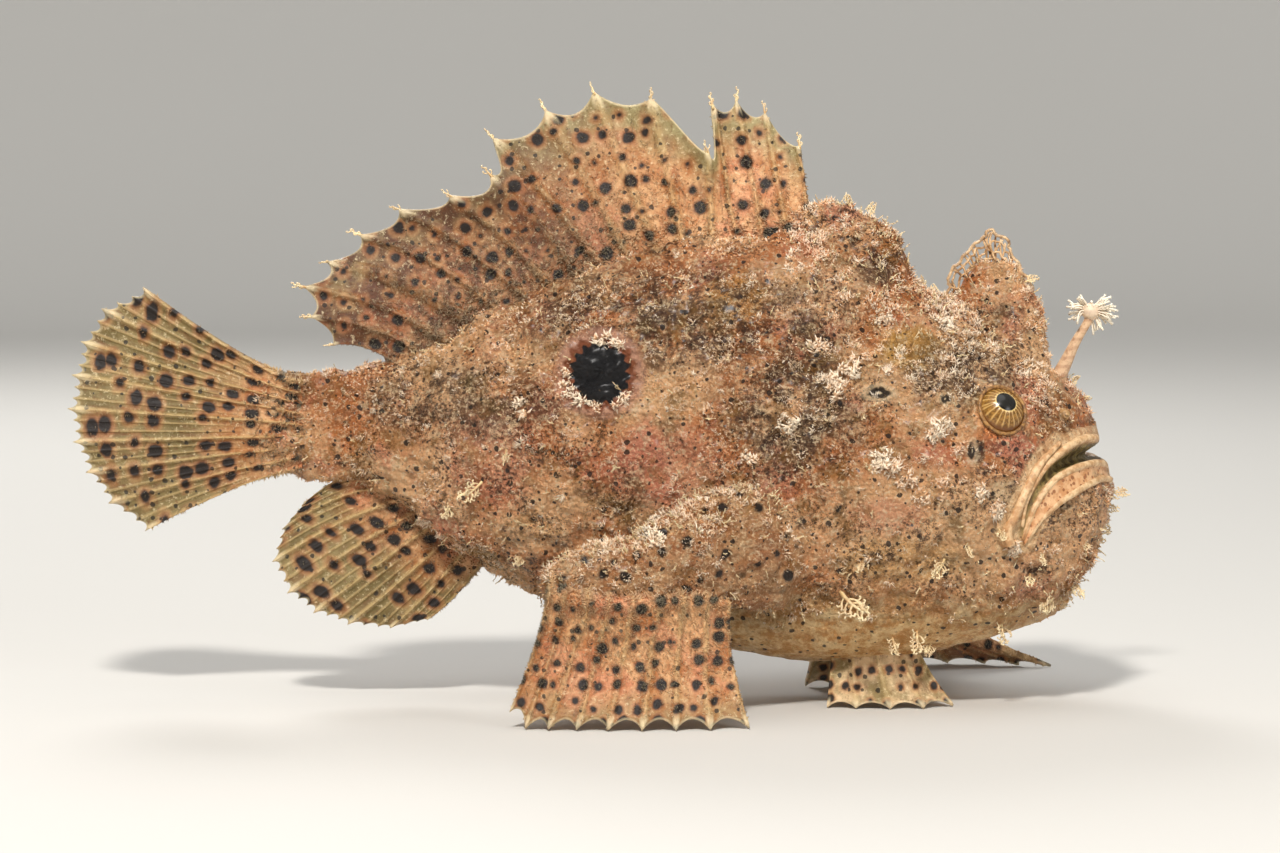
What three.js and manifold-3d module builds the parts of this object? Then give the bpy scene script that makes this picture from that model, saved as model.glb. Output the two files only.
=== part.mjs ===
// A frogfish at life size, standing on its paired fins as a still museum model.
// Millimetres, +Z up. The fish faces +X and its right side faces -Y.
// The origin is at the middle of its footprint, on the floor.
import * as THREE from "three";
import { mergeVertices } from "three/addons/utils/BufferGeometryUtils.js";
import Module from "manifold-3d";

const wasm = await Module();
wasm.setup();

const { lerp, clamp } = THREE.MathUtils;
const vec = (x, y, z) => new THREE.Vector3(x, y, z);

// Driving dimensions
const partingGap = 0.35; // between pieces that meet
const bodyRingPoints = 22;
const bodyStepsPerRib = 2;
const widestPointDrop = 0.16; // how far the widest point lies under mid height
const eyeRadius = 5.4;
const eyeBulge = 2.6; // how far the eyeball stands out of the head
const webThickness = 0.9; // fin membrane between two rays
const rayThickness = 1.9; // fin ray, where it leaves the flesh
const floorLevel = 0;

// Ribs of the body from the tail stalk to the chin: a point on the back, one on the belly, half the girth's width.
const ribs = [
  { back: [-67, 62.5], belly: [-67.5, 48], half: 0.9 },
  { back: [-61.9, 65.0], belly: [-62.5, 45.2], half: 2.4 },
  { back: [-51.7, 65.4], belly: [-51.9, 44.2], half: 5 },
  { back: [-43.7, 67.4], belly: [-44.5, 42.2], half: 7.5 },
  { back: [-33.7, 71.2], belly: [-35.9, 36.7], half: 11.5 },
  { back: [-20.7, 78.2], belly: [-24.9, 28.7], half: 16 },
  { back: [-6.8, 84.6], belly: [-10.9, 21.6], half: 20 },
  { back: [8.2, 89.6], belly: [6.2, 15.4], half: 23 },
  { back: [24.1, 93.2], belly: [24.3, 10.9], half: 25.5 },
  { back: [40.1, 93.6], belly: [42.3, 7.8], half: 27 },
  { back: [54.5, 88.8], belly: [59.4, 8.2], half: 26.8 },
  { back: [68.1, 81.2], belly: [73.4, 11.0], half: 25.5 },
  { back: [80.1, 74.2], belly: [84.5, 14.4], half: 22.8 },
  { back: [90.1, 67.0], belly: [91.5, 17.4], half: 19.2 },
  { back: [96.7, 61.0], belly: [95.8, 22.0], half: 15.2 },
  { back: [100.0, 55.4], belly: [99.0, 27.7], half: 11 },
  { back: [101.6, 49.6], belly: [101.4, 33.3], half: 7.2 },
  { back: [103.0, 45.8], belly: [103.0, 38.8], half: 3.6 },
  { back: [103.8, 42.4], belly: [103.8, 42.4], half: 0 },
];

// Swellings and hollows of the flanks: where, how wide, how high.
const swellings = [
  { x: 79.8, z: 59.5, spread: 6.5, rise: 1.5 }, // round the eye
  { x: 36, z: 36, spread: 13, rise: 2.2 }, // shoulder
  { x: 76, z: 44, spread: 9, rise: 1.2 }, // cheek
  { x: 60, z: 69, spread: 9, rise: -1.6 }, // behind the brow
  { x: 6, z: 42, spread: 11, rise: -1.2 }, // behind the shoulder
  { x: 91, z: 60, spread: 5, rise: 0.9 }, // nasal knob
];

const mouthCorner = { x: 83.2, z: 34.2 };

// Splines through evenly spaced values
function smoothAt(values, s) {
  const last = values.length - 1;
  const i = clamp(Math.floor(s), 0, last - 1);
  const at = (k) => values[clamp(k, 0, last)];
  const f = s - i;
  const slope = (k) => (k <= 0 || k >= last ? at(k + (k <= 0 ? 1 : 0)) - at(k - (k >= last ? 1 : 0)) : (at(k + 1) - at(k - 1)) / 2);
  const [a, b, m, n] = [at(i), at(i + 1), slope(i), slope(i + 1)];
  const f2 = f * f;
  const f3 = f2 * f;
  return a * (2 * f3 - 3 * f2 + 1) + m * (f3 - 2 * f2 + f) + b * (3 * f2 - 2 * f3) + n * (f3 - f2);
}

const smoothPoint = (points, s) => vec(...[0, 1, 2].map((axis) => smoothAt(points.map((p) => p[axis]), s)));

const ribValue = {
  backX: ribs.map((r) => r.back[0]),
  backZ: ribs.map((r) => r.back[1]),
  bellyX: ribs.map((r) => r.belly[0]),
  bellyZ: ribs.map((r) => r.belly[1]),
  half: ribs.map((r) => r.half),
};

const ribAt = (s) => Object.fromEntries(Object.entries(ribValue).map(([k, v]) => [k, smoothAt(v, s)]));

const swellAt = (x, z) =>
  swellings.reduce((sum, w) => sum + w.rise * Math.exp(-((x - w.x) ** 2 + (z - w.z) ** 2) / w.spread ** 2), 0);

// One point of the body: s runs along the ribs, angle goes round from the right flank over the back.
function bodyPoint(s, angle) {
  const rib = ribAt(s);
  const up = Math.sin(angle);
  const out = Math.cos(angle);
  const height = up - widestPointDrop * (1 - up * up);
  const fullness = up > 0 ? 1 : lerp(1, 0.82, -up);
  const x = lerp(rib.bellyX, rib.backX, (height + 1) / 2);
  const z = lerp(rib.bellyZ, rib.backZ, (height + 1) / 2);
  const flank = Math.sign(out) * Math.abs(out) ** fullness;
  const y = -flank * (Math.max(rib.half, 0) + Math.abs(out) * swellAt(x, z) * Math.min(1, rib.half / 8));
  return vec(x, y, z);
}

// How far the flank lies from the middle at a place seen from the side.
function flankAt(x, z) {
  let low = 0;
  let high = ribs.length - 1;
  for (let i = 0; i < 30; i++) {
    const s = (low + high) / 2;
    const rib = ribAt(s);
    const run = [rib.backX - rib.bellyX, rib.backZ - rib.bellyZ];
    const ahead = run[1] * (x - rib.bellyX) - run[0] * (z - rib.bellyZ);
    if (ahead > 0) low = s;
    else high = s;
  }
  const rib = ribAt(low);
  const height = clamp((2 * (z - rib.bellyZ)) / (rib.backZ - rib.bellyZ) - 1, -1, 1);
  let angle = 0;
  for (let i = 0; i < 20; i++) {
    const up = Math.sin(angle);
    angle = Math.asin(clamp(height + widestPointDrop * (1 - up * up), -1, 1));
  }
  return Math.abs(bodyPoint(low, angle).y);
}

// Solids from rings and grids
function geometryOf(points, faces) {
  const geometry = new THREE.BufferGeometry().setFromPoints(points);
  geometry.setIndex(faces);
  return geometry;
}

function solidOf(geometry) {
  const bare = geometry.clone();
  bare.deleteAttribute("normal");
  bare.deleteAttribute("uv");
  const merged = mergeVertices(bare, 1e-4);
  const build = (triVerts) =>
    new wasm.Manifold(new wasm.Mesh({ numProp: 3, vertProperties: merged.attributes.position.array, triVerts }));
  const index = new Uint32Array(merged.index.array);
  const made = build(index);
  return made.volume() < 0 ? build(index.map((v, i) => index[i - (i % 3) + [0, 2, 1][i % 3]])) : made;
}

// A skin over a row of rings, with a middle point closing each end.
function loftGeometry(rings) {
  const around = rings[0].length;
  const points = rings.flat();
  const middle = (ring) => ring.reduce((sum, p) => sum.add(p), vec(0, 0, 0)).divideScalar(around);
  const faces = [];
  for (let i = 0; i < rings.length - 1; i++)
    for (let j = 0; j < around; j++) {
      const k = (j + 1) % around;
      const [a, b, c, d] = [i * around + j, i * around + k, (i + 1) * around + k, (i + 1) * around + j];
      faces.push(a, b, c, a, c, d);
    }
  const endCap = (ring, first, flip) => {
    points.push(middle(ring));
    for (let j = 0; j < around; j++) {
      const pair = [first + j, first + ((j + 1) % around)];
      faces.push(points.length - 1, ...(flip ? pair.reverse() : pair));
    }
  };
  endCap(rings[0], 0, true);
  endCap(rings.at(-1), (rings.length - 1) * around, false);
  return geometryOf(points, faces);
}

const loft = (rings) => solidOf(loftGeometry(rings));

// An oval ring: centre, half length along one direction, half breadth along another.
const oval = (centre, along, across, count) =>
  Array.from({ length: count }, (_, i) => {
    const a = (i / count) * 2 * Math.PI;
    return centre.clone().addScaledVector(along, Math.cos(a)).addScaledVector(across, Math.sin(a));
  });

// A round tube along points, its radius given at each of them.
function tube(points, radii, sides = 6, stepsPerSpan = 2) {
  const curve = new THREE.CatmullRomCurve3(points, false, "centripetal");
  const steps = (points.length - 1) * stepsPerSpan;
  const frames = curve.computeFrenetFrames(steps, false);
  const rings = Array.from({ length: steps + 1 }, (_, i) => {
    const radius = smoothAt(radii, (i / steps) * (radii.length - 1));
    return oval(
      curve.getPointAt(i / steps),
      frames.normals[i].clone().multiplyScalar(radius),
      frames.binormals[i].clone().multiplyScalar(radius),
      sides,
    );
  });
  return loft(rings);
}

// A thin plate: the same grid of triangles on both faces, joined by a rim.
function plate(middleAt, thicknessAt, columns, rows) {
  const nudge = 1e-3;
  const faceOf = (side) =>
    columns.flatMap((u) =>
      rows.map((v) => {
        const [u0, u1] = [Math.max(columns[0], u - nudge), Math.min(columns.at(-1), u + nudge)];
        const [v0, v1] = [Math.max(0, v - nudge), Math.min(1, v + nudge)];
        const across = middleAt(u1, v).sub(middleAt(u0, v));
        const along = middleAt(u, v1).sub(middleAt(u, v0));
        const normal = across.cross(along).normalize();
        return middleAt(u, v).addScaledVector(normal, (side * thicknessAt(u, v)) / 2);
      }),
    );
  const [nu, nv] = [columns.length, rows.length];
  const points = [...faceOf(1), ...faceOf(-1)];
  const faces = [];
  const quad = (a, b, c, d) => faces.push(a, b, c, a, c, d);
  const at = (i, j, side) => i * nv + j + (side ? nu * nv : 0);
  for (let i = 0; i < nu - 1; i++)
    for (let j = 0; j < nv - 1; j++) {
      quad(at(i, j, 0), at(i + 1, j, 0), at(i + 1, j + 1, 0), at(i, j + 1, 0));
      const [a, b, c, d] = [at(i, j, 1), at(i + 1, j, 1), at(i + 1, j + 1, 1), at(i, j + 1, 1)];
      faces.push(a, c, b, a, d, c);
    }
  const rim = (a, b) => quad(a[0], a[1], b[1], b[0]);
  const both = (i, j) => [at(i, j, 0), at(i, j, 1)];
  for (let i = 0; i < nu - 1; i++) {
    rim(both(i, 0), both(i + 1, 0));
    rim(both(i + 1, nv - 1), both(i, nv - 1));
  }
  for (let j = 0; j < nv - 1; j++) {
    rim(both(0, j + 1), both(0, j));
    rim(both(nu - 1, j), both(nu - 1, j + 1));
  }
  return solidOf(geometryOf(points, faces));
}

const largest = (solid) =>
  solid.decompose().reduce((best, piece) => (piece.volume() > best.volume() ? piece : best));

const joined = (solids) => largest(wasm.Manifold.union(solids));

// A flat outline in the fish's length and height, carried across its whole width.
function sideSlice(outline, halfWidth = 70) {
  const shape = new THREE.Shape(outline.map(([x, z]) => new THREE.Vector2(x, z)));
  const geometry = new THREE.ExtrudeGeometry(shape, { depth: 2 * halfWidth, bevelEnabled: false });
  geometry.rotateX(Math.PI / 2).translate(0, halfWidth, 0);
  return solidOf(geometry);
}

// The whole body, and the same body grown so that what meets it keeps a gap
const ribCount = ribs.length - 1;

function bodyGeometry() {
  const steps = ribCount * bodyStepsPerRib;
  const rings = Array.from({ length: steps }, (_, i) =>
    Array.from({ length: bodyRingPoints }, (_, j) =>
      bodyPoint((i / steps) * ribCount, ((j + 0.5) / bodyRingPoints) * 2 * Math.PI),
    ),
  );
  const tip = bodyPoint(ribCount, 0);
  rings.push(rings.at(-1).map((p) => p.clone().lerp(tip, 0.75)));
  return loftGeometry(rings);
}

function grown(geometry, by) {
  const bare = mergeVertices(geometry, 1e-4);
  bare.computeVertexNormals();
  const { position, normal } = bare.attributes;
  for (let i = 0; i < position.count; i++)
    position.setXYZ(
      i,
      position.getX(i) + by * normal.getX(i),
      position.getY(i) + by * normal.getY(i),
      position.getZ(i) + by * normal.getZ(i),
    );
  return solidOf(bare);
}

// The normals of the body's rings point inwards when its volume comes out negative.
const outward = (geometry) => {
  const p = geometry.attributes.position;
  const index = geometry.index.array;
  const corner = (i) => vec(p.getX(index[i]), p.getY(index[i]), p.getZ(index[i]));
  let volume = 0;
  for (let i = 0; i < index.length; i += 3) volume += corner(i).dot(corner(i + 1).cross(corner(i + 2)));
  return Math.sign(volume);
};

const bodyShape = bodyGeometry();
const facing = outward(bodyShape);
const body = solidOf(bodyShape);
const bodyWithGap = grown(bodyShape, facing * partingGap);
const bodyCore = grown(bodyShape, facing * -2.6);

// Small branching skin fronds. Each is a bent stem with side twigs.
let frondSeed = 1;
const chance = () => {
  frondSeed = (frondSeed * 16807) % 2147483647;
  return frondSeed / 2147483647;
};

function frond(root, direction, length, twigs = 2) {
  const forward = direction.clone().normalize();
  const sideways = vec(0, 1, 0).cross(forward).lengthSq() > 0.05 ? vec(0, 1, 0).cross(forward).normalize() : vec(1, 0, 0);
  const bend = (chance() - 0.5) * 0.7 * length;
  const at = (share) =>
    root.clone().addScaledVector(forward, length * share).addScaledVector(sideways, bend * share * share);
  const thick = Math.max(0.34, length * 0.1);
  const stem = tube([at(-0.35), at(0.4), at(1)], [thick * 1.5, thick, thick * 0.62], 5, 1);
  const twig = (i) => {
    const start = at(lerp(0.35, 0.75, i / Math.max(1, twigs - 1)) - 0.08);
    const turn = i % 2 ? 1 : -1;
    const away = forward.clone().multiplyScalar(0.55).addScaledVector(sideways, turn * 0.85);
    const tip = start.clone().addScaledVector(away, length * lerp(0.4, 0.55, chance()));
    return tube([start, tip], [thick * 0.85, thick * 0.5], 4, 1);
  };
  return [stem, ...Array.from({ length: twigs }, (_, i) => twig(i))];
}

const outOf = (x, z, side, lift = 0) => vec(x, side * (flankAt(x, z) + lift), z);

// Fins: rays from roots to tips, with a web between them that is cut back at the edge
function fin({ roots, tips, notch = 0.07, deepNotch = {}, bow, thickness, rows }) {
  const middleAt = (u, v) => {
    const between = Math.sin(Math.PI * (u - Math.floor(u))) ** 0.8;
    const cut = (deepNotch[Math.floor(u)] ?? notch) * between;
    return bow(smoothPoint(roots, u), smoothPoint(tips, u), v * (1 - cut), u);
  };
  const isRay = (u) => Math.abs(u - Math.round(u)) < 1e-6;
  const thicknessAt = (u, v) => thickness(isRay(u), v, u);
  const columns = [];
  for (let k = 0; k < tips.length - 1; k++) columns.push(k, k + 0.3, k + 0.7);
  columns.push(tips.length - 1);
  return plate(middleAt, thicknessAt, columns, rows);
}

const rayProfile = (root, tip) => (isRay, v) => lerp(isRay ? root : webThickness * 1.15, isRay ? tip : webThickness, v);

const evenRows = (count) => Array.from({ length: count + 1 }, (_, i) => i / count);

// Tail fin
const tailTips = [
  [-90.0, 82.4], [-98.6, 78.0], [-102.9, 71.4], [-104.4, 64.8], [-105.0, 58.2],
  [-103.9, 51.6], [-101.6, 45.4], [-97.4, 39.0], [-90.2, 33.3],
];

function tailFin() {
  const tips = tailTips.map(([x, z], i) => [x, 1.6 * Math.sin(i * 0.9), z]);
  const roots = tips.map((_, i) => [-60, 0, lerp(63.6, 46.4, i / (tips.length - 1))]);
  const bow = (root, tip, v, u) => {
    const edge = Math.abs(u / (tips.length - 1) - 0.5) * 2;
    const point = root.clone().lerp(tip, v);
    point.z = lerp(root.z, tip.z, v ** lerp(1, 1.32, edge));
    point.y += 1.3 * v * Math.sin(u * 1.1);
    return point;
  };
  const base = rayProfile(2.6, 1.0);
  const thickness = (isRay, v) => base(isRay, v) + 1.6 * Math.max(0, 1 - v * 4);
  const blade = fin({ roots, tips, bow, thickness, rows: evenRows(4) });
  return largest(blade.subtract(bodyWithGap));
}

// Anal fin
function analFin() {
  const tips = [
    [-58.5, 38.5], [-62.5, 33.9], [-64.4, 27.5], [-61.4, 21.2], [-56.2, 17.2],
    [-49.4, 14.8], [-41.0, 13.9], [-33.5, 15.6],
  ].map(([x, z], i) => [x, -1.5 + 1.2 * Math.cos(i), z]);
  const roots = tips.map((_, i) => {
    const share = i / (tips.length - 1);
    return [lerp(-44, -21, share), 0, lerp(45, 29.5, share)];
  });
  const bow = (root, tip, v, u) => {
    const point = root.clone().lerp(tip, v);
    const sag = Math.sin(Math.PI * v) * lerp(2.2, -1.5, u / (tips.length - 1));
    return point.add(vec(0, 0, sag));
  };
  const base = rayProfile(2.4, 1.0);
  const thickness = (isRay, v) => base(isRay, v) + 3.5 * Math.max(0, 1 - v * 1.9);
  const blade = fin({ roots, tips, bow, thickness, rows: evenRows(4) });
  return largest(blade.subtract(bodyWithGap));
}

// Soft dorsal fin, a fleshy sail with a gap between its front lobe and the long rear lobe
const dorsalTips = [
  [41.0, 110.5], [34.1, 117.2], [28.3, 119.6], [23.6, 118.6], [22.8, 109.2], [11.4, 120.0], [-0.1, 121.4],
  [-9.7, 117.6], [-20.1, 112.1], [-20.5, 104.7], [-28.6, 100.7], [-38.8, 97.9], [-46.8, 92.8],
  [-53.0, 87.4], [-57.8, 82.6], [-56.3, 76.6], [-52.0, 71.0],
];
const dorsalEdge = { 3: 0.16, 4: 0.03 }; // how deep the edge is cut on each side of the short ray behind the front lobe

function dorsalRoot(i) {
  const share = i / (dorsalTips.length - 1);
  const x = lerp(44, -37, share);
  const back = smoothAt(ribValue.backZ, ribPositionOf(x));
  return [x, 0, back - 4];
}

function ribPositionOf(x) {
  let [low, high] = [0, ribCount];
  for (let i = 0; i < 30; i++) {
    const s = (low + high) / 2;
    if (smoothAt(ribValue.backX, s) < x) low = s;
    else high = s;
  }
  return low;
}

const dorsalSway = (u, v) => v * v * (2.6 * Math.sin(u * 1.15 + 0.4) - (u > 9 ? 1.2 : 0));

function dorsalFin() {
  const tips = dorsalTips.map(([x, z]) => [x, 0, z]);
  const roots = tips.map((_, i) => dorsalRoot(i));
  const bow = (root, tip, v, u) => {
    const point = root.clone().lerp(tip, v);
    const lift = Math.sin(Math.PI * clamp(v, 0, 1)) * lerp(0, 5, clamp((u - 6) / 9, 0, 1));
    return point.add(vec(0, dorsalSway(u, v), lift * (u > 13 ? 0.4 : 0.8)));
  };
  const base = rayProfile(rayThickness, 1.0);
  const flesh = (u) => lerp(9, 5, clamp(u / 10, 0, 1));
  const thickness = (isRay, v, u) => base(isRay, v) + flesh(u) * Math.max(0, 1 - v / 0.72) ** 1.7;
  const blade = fin({
    roots,
    tips,
    bow,
    thickness,
    notch: 0.09,
    deepNotch: dorsalEdge,
    rows: evenRows(4),
  });
  const fronds = dorsalTips.slice(0, 14).flatMap((_, i) => {
    if (i % 2 && i !== 3) return [];
    if (i === 4) return [];
    const root = smoothPoint(roots, i);
    const tip = bow(root, smoothPoint(tips, i), 1, i);
    const direction = tip.clone().sub(root).normalize().add(vec(-0.35, 0, i < 8 ? 0.5 : 0.2));
    return frond(tip.clone().addScaledVector(direction, -0.5), direction, i % 4 ? 2.6 : 3.2, 1);
  });
  return joined([largest(blade.subtract(bodyWithGap).subtract(thirdSpineClear)), ...fronds]);
}

// Arms, the fleshy stalks of the breast fins
const rightArm = [
  { at: [42, -14, 33], tall: 12.5, thick: 9 },
  { at: [32, -25.5, 33.5], tall: 12.2, thick: 7.4 },
  { at: [20, -33, 31], tall: 10.4, thick: 5.6 },
  { at: [8, -37, 28.4], tall: 7.8, thick: 4.2 },
  { at: [-3, -38.6, 27.4], tall: 5.2, thick: 3 },
  { at: [-9, -39, 27.4], tall: 2.2, thick: 1.4 },
];
const leftArm = [
  { at: [42, 14, 32], tall: 12, thick: 9 },
  { at: [48, 25.5, 30], tall: 11, thick: 7.4 },
  { at: [54, 34, 25.5], tall: 9, thick: 5.6 },
  { at: [60, 39.5, 20.5], tall: 7, thick: 4.2 },
  { at: [65, 42.5, 16.5], tall: 4.6, thick: 3 },
  { at: [68, 43.8, 14], tall: 2, thick: 1.4 },
];

function armGeometry(stations) {
  const curve = new THREE.CatmullRomCurve3(stations.map((s) => vec(...s.at)), false, "centripetal");
  const spans = stations.length - 1;
  const steps = spans * 2;
  const rings = Array.from({ length: steps + 1 }, (_, i) => {
    const t = i / steps;
    const direction = curve.getTangent(t);
    const up = vec(0, 0, 1).addScaledVector(direction, -direction.z).normalize();
    const across = direction.clone().cross(up).normalize();
    const tall = smoothAt(stations.map((s) => s.tall), t * spans);
    const thick = smoothAt(stations.map((s) => s.thick), t * spans);
    return oval(curve.getPoint(t), up.multiplyScalar(tall), across.multiplyScalar(thick), 14);
  });
  return loftGeometry(rings);
}

function armSolids(stations) {
  const shape = armGeometry(stations);
  const sign = outward(shape);
  return {
    arm: largest(solidOf(shape).subtract(bodyWithGap)),
    clear: grown(shape, sign * partingGap),
  };
}

const rightArmSolids = armSolids(rightArm);
const leftArmSolids = armSolids(leftArm);

// Breast and belly fins: the rays run down, flare out near the floor and end in small pads
const floorSlab = sideSlice([[-160, floorLevel], [160, floorLevel], [160, -40], [-160, -40]], 90);

function footFin({ roots, tips, flare, rootFlesh, clear }) {
  const bow = (root, tip, v) => {
    const point = root.clone().lerp(tip, v);
    point.x = lerp(root.x, tip.x, v ** flare);
    point.y = lerp(root.y, tip.y, v ** flare);
    return point;
  };
  const base = rayProfile(2.5, 2.1);
  const thickness = (isRay, v) => base(isRay, v) + rootFlesh * Math.max(0, 1 - v * 1.5) ** 1.5;
  const blade = fin({ roots, tips, bow, thickness, notch: 0.07, rows: evenRows(4) });
  const pads = tips.filter((t) => t[2] <= floorLevel).map((t) => {
    const pad = new THREE.SphereGeometry(1.55, 6, 3).scale(1.25, 1, 0.9);
    return solidOf(pad.translate(t[0], t[1], floorLevel + 0.5));
  });
  const whole = joined([blade, ...pads]).subtract(floorSlab);
  return largest(clear.reduce((solid, other) => solid.subtract(other), whole));
}

const rightBreastFin = () =>
  footFin({
    roots: [
      [-7.5, -39, 30], [-5, -39, 29], [-1, -38.6, 28], [3, -38, 27.5], [7.5, -37.4, 27.5], [12, -36.3, 27.5],
      [16, -35, 27.5], [20, -33.4, 27], [23.5, -31.4, 26],
    ],
    tips: [
      [-15.6, -44.5, 3.2], [-12.6, -46, -0.4], [-8.2, -47, -0.5], [-2.8, -47.8, -0.5], [3.2, -48.2, -0.5],
      [9.6, -48.4, -0.5], [16, -48, -0.5], [22.6, -47, -0.5], [30, -45, -0.5],
    ],
    flare: 1.6,
    rootFlesh: 4,
    clear: [rightArmSolids.clear, bodyWithGap],
  });

const leftBreastFin = () =>
  footFin({
    roots: [
      [57, 37, 22], [59, 38.4, 20.4], [61, 39.6, 19], [63, 40.8, 17.6], [64.6, 41.6, 16.4], [66, 42.4, 15.2],
      [67, 42.9, 14.3], [67.6, 43.2, 13.8],
    ],
    tips: [
      [46, 47, -0.5], [52, 50, -0.5], [59, 52, -0.5], [67, 52.6, -0.5], [75, 52.2, -0.5], [83, 51, -0.5],
      [90, 49, -0.5], [96.5, 46, -0.5],
    ],
    flare: 1.35,
    rootFlesh: 3.6,
    clear: [leftArmSolids.clear, bodyWithGap],
  });

const bellyFin = (side, setBack) =>
  footFin({
    roots: [[48, 7, 15], [51.5, 8, 15], [55.5, 8.5, 15], [59.5, 8.5, 15], [63, 8, 15]].map(([x, y, z]) => [
      x - setBack,
      side * y,
      z,
    ]),
    tips: [[46, 16, -0.5], [51.6, 18, -0.5], [58.4, 18.6, -0.5], [65, 17.6, -0.5], [71, 15, -0.5]].map(
      ([x, y, z]) => [x - setBack, side * y, z],
    ),
    flare: 1.7,
    rootFlesh: 3.2,
    clear: [bodyWithGap],
  });

// First spine with its lure: a rod and a pompom of threads
function lureRod() {
  const rod = tube([vec(91.6, 0, 62), vec(93.8, -0.3, 66.5), vec(96.1, -0.6, 71.4), vec(98.4, -0.8, 75.4)], [1.9, 1.4, 1.0, 0.85], 8);
  const foot = [frond(vec(95.2, 0.4, 66.4), vec(1, 0.2, 0.2), 2.2, 1), frond(vec(94.2, 1.2, 64), vec(1, 0.6, 0), 2, 1)];
  return largest(joined([rod, ...foot.flat()]).subtract(bodyWithGap));
}

const lureBulb = { at: vec(99.0, -0.9, 77.6), radius: 1.55 };

function lure() {
  const ball = new THREE.SphereGeometry(lureBulb.radius, 10, 8);
  const bulb = solidOf(ball.translate(...lureBulb.at.toArray()));
  const fans = [
    { centre: 15, spread: 75, count: 4, length: 5.6 },
    { centre: 155, spread: 80, count: 3, length: 4.8 },
    { centre: -65, spread: 40, count: 2, length: 4.2 },
  ];
  const threads = fans.flatMap(({ centre, spread, count, length }) =>
    Array.from({ length: count }, (_, i) => {
      const a = THREE.MathUtils.degToRad(centre + spread * (i / (count - 1) - 0.5));
      const lean = 0.55 * (i % 2 ? 1 : -1) * (0.6 + 0.4 * chance());
      const away = vec(Math.cos(a), lean, Math.sin(a)).normalize();
      const droop = vec(0, 0, -0.9);
      const at = (share) => lureBulb.at.clone().addScaledVector(away, length * share).addScaledVector(droop, share * share);
      return tube([at(0.12), at(0.6), at(1)], [0.5, 0.42, 0.3], 4, 1);
    }),
  );
  const clearOfRod = tube([vec(96.1, -0.6, 71.4), vec(98.4, -0.8, 75.4), vec(98.5, -0.82, 75.75)], [1.5, 1.35, 1.3], 10);
  return largest(joined([bulb, ...threads]).subtract(clearOfRod));
}

// A spine's flesh: an upright stack of ovals, each with its middle, half length and half width
function hornGeometry(sections, steps) {
  const rings = evenRows(steps).map((t) => {
    const s = t * (sections.length - 1);
    const value = (get) => smoothAt(sections.map(get), s);
    const centre = vec(value((p) => p.at[0]), 0, value((p) => p.at[1]));
    return oval(centre, vec(value((p) => p.length), 0, 0), vec(0, value((p) => p.half), 0), 14);
  });
  return loftGeometry(rings);
}

// Second spine: a fleshy horn with a lacy web over its tip
function secondSpine() {
  const horn = solidOf(
    hornGeometry(
      [
        { at: [80.8, 67], length: 11, half: 8 },
        { at: [80.7, 75.5], length: 9.4, half: 5.2 },
        { at: [80.4, 81], length: 7.3, half: 3.4 },
        { at: [80.0, 84.6], length: 5.2, half: 2 },
        { at: [80.0, 87.2], length: 2.6, half: 1.1 },
      ],
      8,
    ),
  );
  const rear = [[70.4, 0, 79], [71.6, 0, 85.4], [73.8, 0, 88.6], [79.6, 0, 93.6], [82.6, 0, 90], [86, 0, 83]];
  const web = plate((u, v) => smoothPoint(rear, u).lerp(vec(81, 0, 80), v), () => webThickness, [0, 0.7, 1.4, 2.2, 3, 4, 5], evenRows(2));
  const holes = [[74.4, 85.6, 0.95], [76.6, 88.2, 1.0], [79.2, 90.6, 0.85], [74, 82.2, 0.8]].map(([x, z, r]) =>
    solidOf(new THREE.CylinderGeometry(r, r, 6, 6).translate(x, 0, z)),
  );
  const lace = holes.reduce((solid, hole) => solid.subtract(hole), web);
  const fronds = [
    ...frond(vec(86.4, 0, 84), vec(1, 0, 0.75), 3.2, 2),
    ...frond(vec(79.6, 0, 93), vec(0.2, 0, 1), 1.8, 1),
  ];
  const flesh = holes.slice(0, 3).reduce((solid, hole) => solid.subtract(hole), horn);
  return joined([largest(joined([flesh, lace]).subtract(bodyWithGap)), ...fronds]);
}

// Third spine: a hump between the soft dorsal fin and the head, shaggy along its crest
const thirdSpineShape = hornGeometry(
  [
    { at: [50.4, 82], length: 15, half: 9.5 },
    { at: [49.4, 90], length: 12.8, half: 7 },
    { at: [48.2, 94], length: 10.9, half: 5 },
    { at: [46.6, 97], length: 8.2, half: 3.2 },
    { at: [45.4, 98.8], length: 5, half: 1.6 },
  ],
  6,
);
const thirdSpineClear = grown(thirdSpineShape, outward(thirdSpineShape) * partingGap);

function thirdSpine() {
  const hump = largest(solidOf(thirdSpineShape).subtract(bodyWithGap));
  const fronds = [[47.4, 98, 2.2], [53, 96.6, 3], [58.2, 94, 3.4], [61.4, 90, 2.4]].flatMap(([x, z, length], i) =>
    frond(vec(x, i % 2 ? 0.6 : -0.6, z), vec(0.5 + 0.2 * i, 0, 1), length, i % 2 ? 2 : 1),
  );
  return joined([hump, ...fronds]);
}

// Eyes sit in sockets cut in the head
const eyeAt = { x: 79.8, z: 59 };

function eyeFrame(side) {
  const step = 0.5;
  const at = (dx, dz) => outOf(eyeAt.x + dx, eyeAt.z + dz, side);
  const normal = at(step, 0).sub(at(-step, 0)).cross(at(0, step).sub(at(0, -step))).normalize();
  if (normal.y * side < 0) normal.negate();
  const centre = at(0, 0).addScaledVector(normal, eyeBulge - eyeRadius);
  return { centre, normal };
}

const ball = (centre, radius, around = 14, rings = 8) =>
  solidOf(new THREE.SphereGeometry(radius, around, rings).translate(...centre.toArray()));

const eyeball = (side) => ball(eyeFrame(side).centre, eyeRadius);

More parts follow.
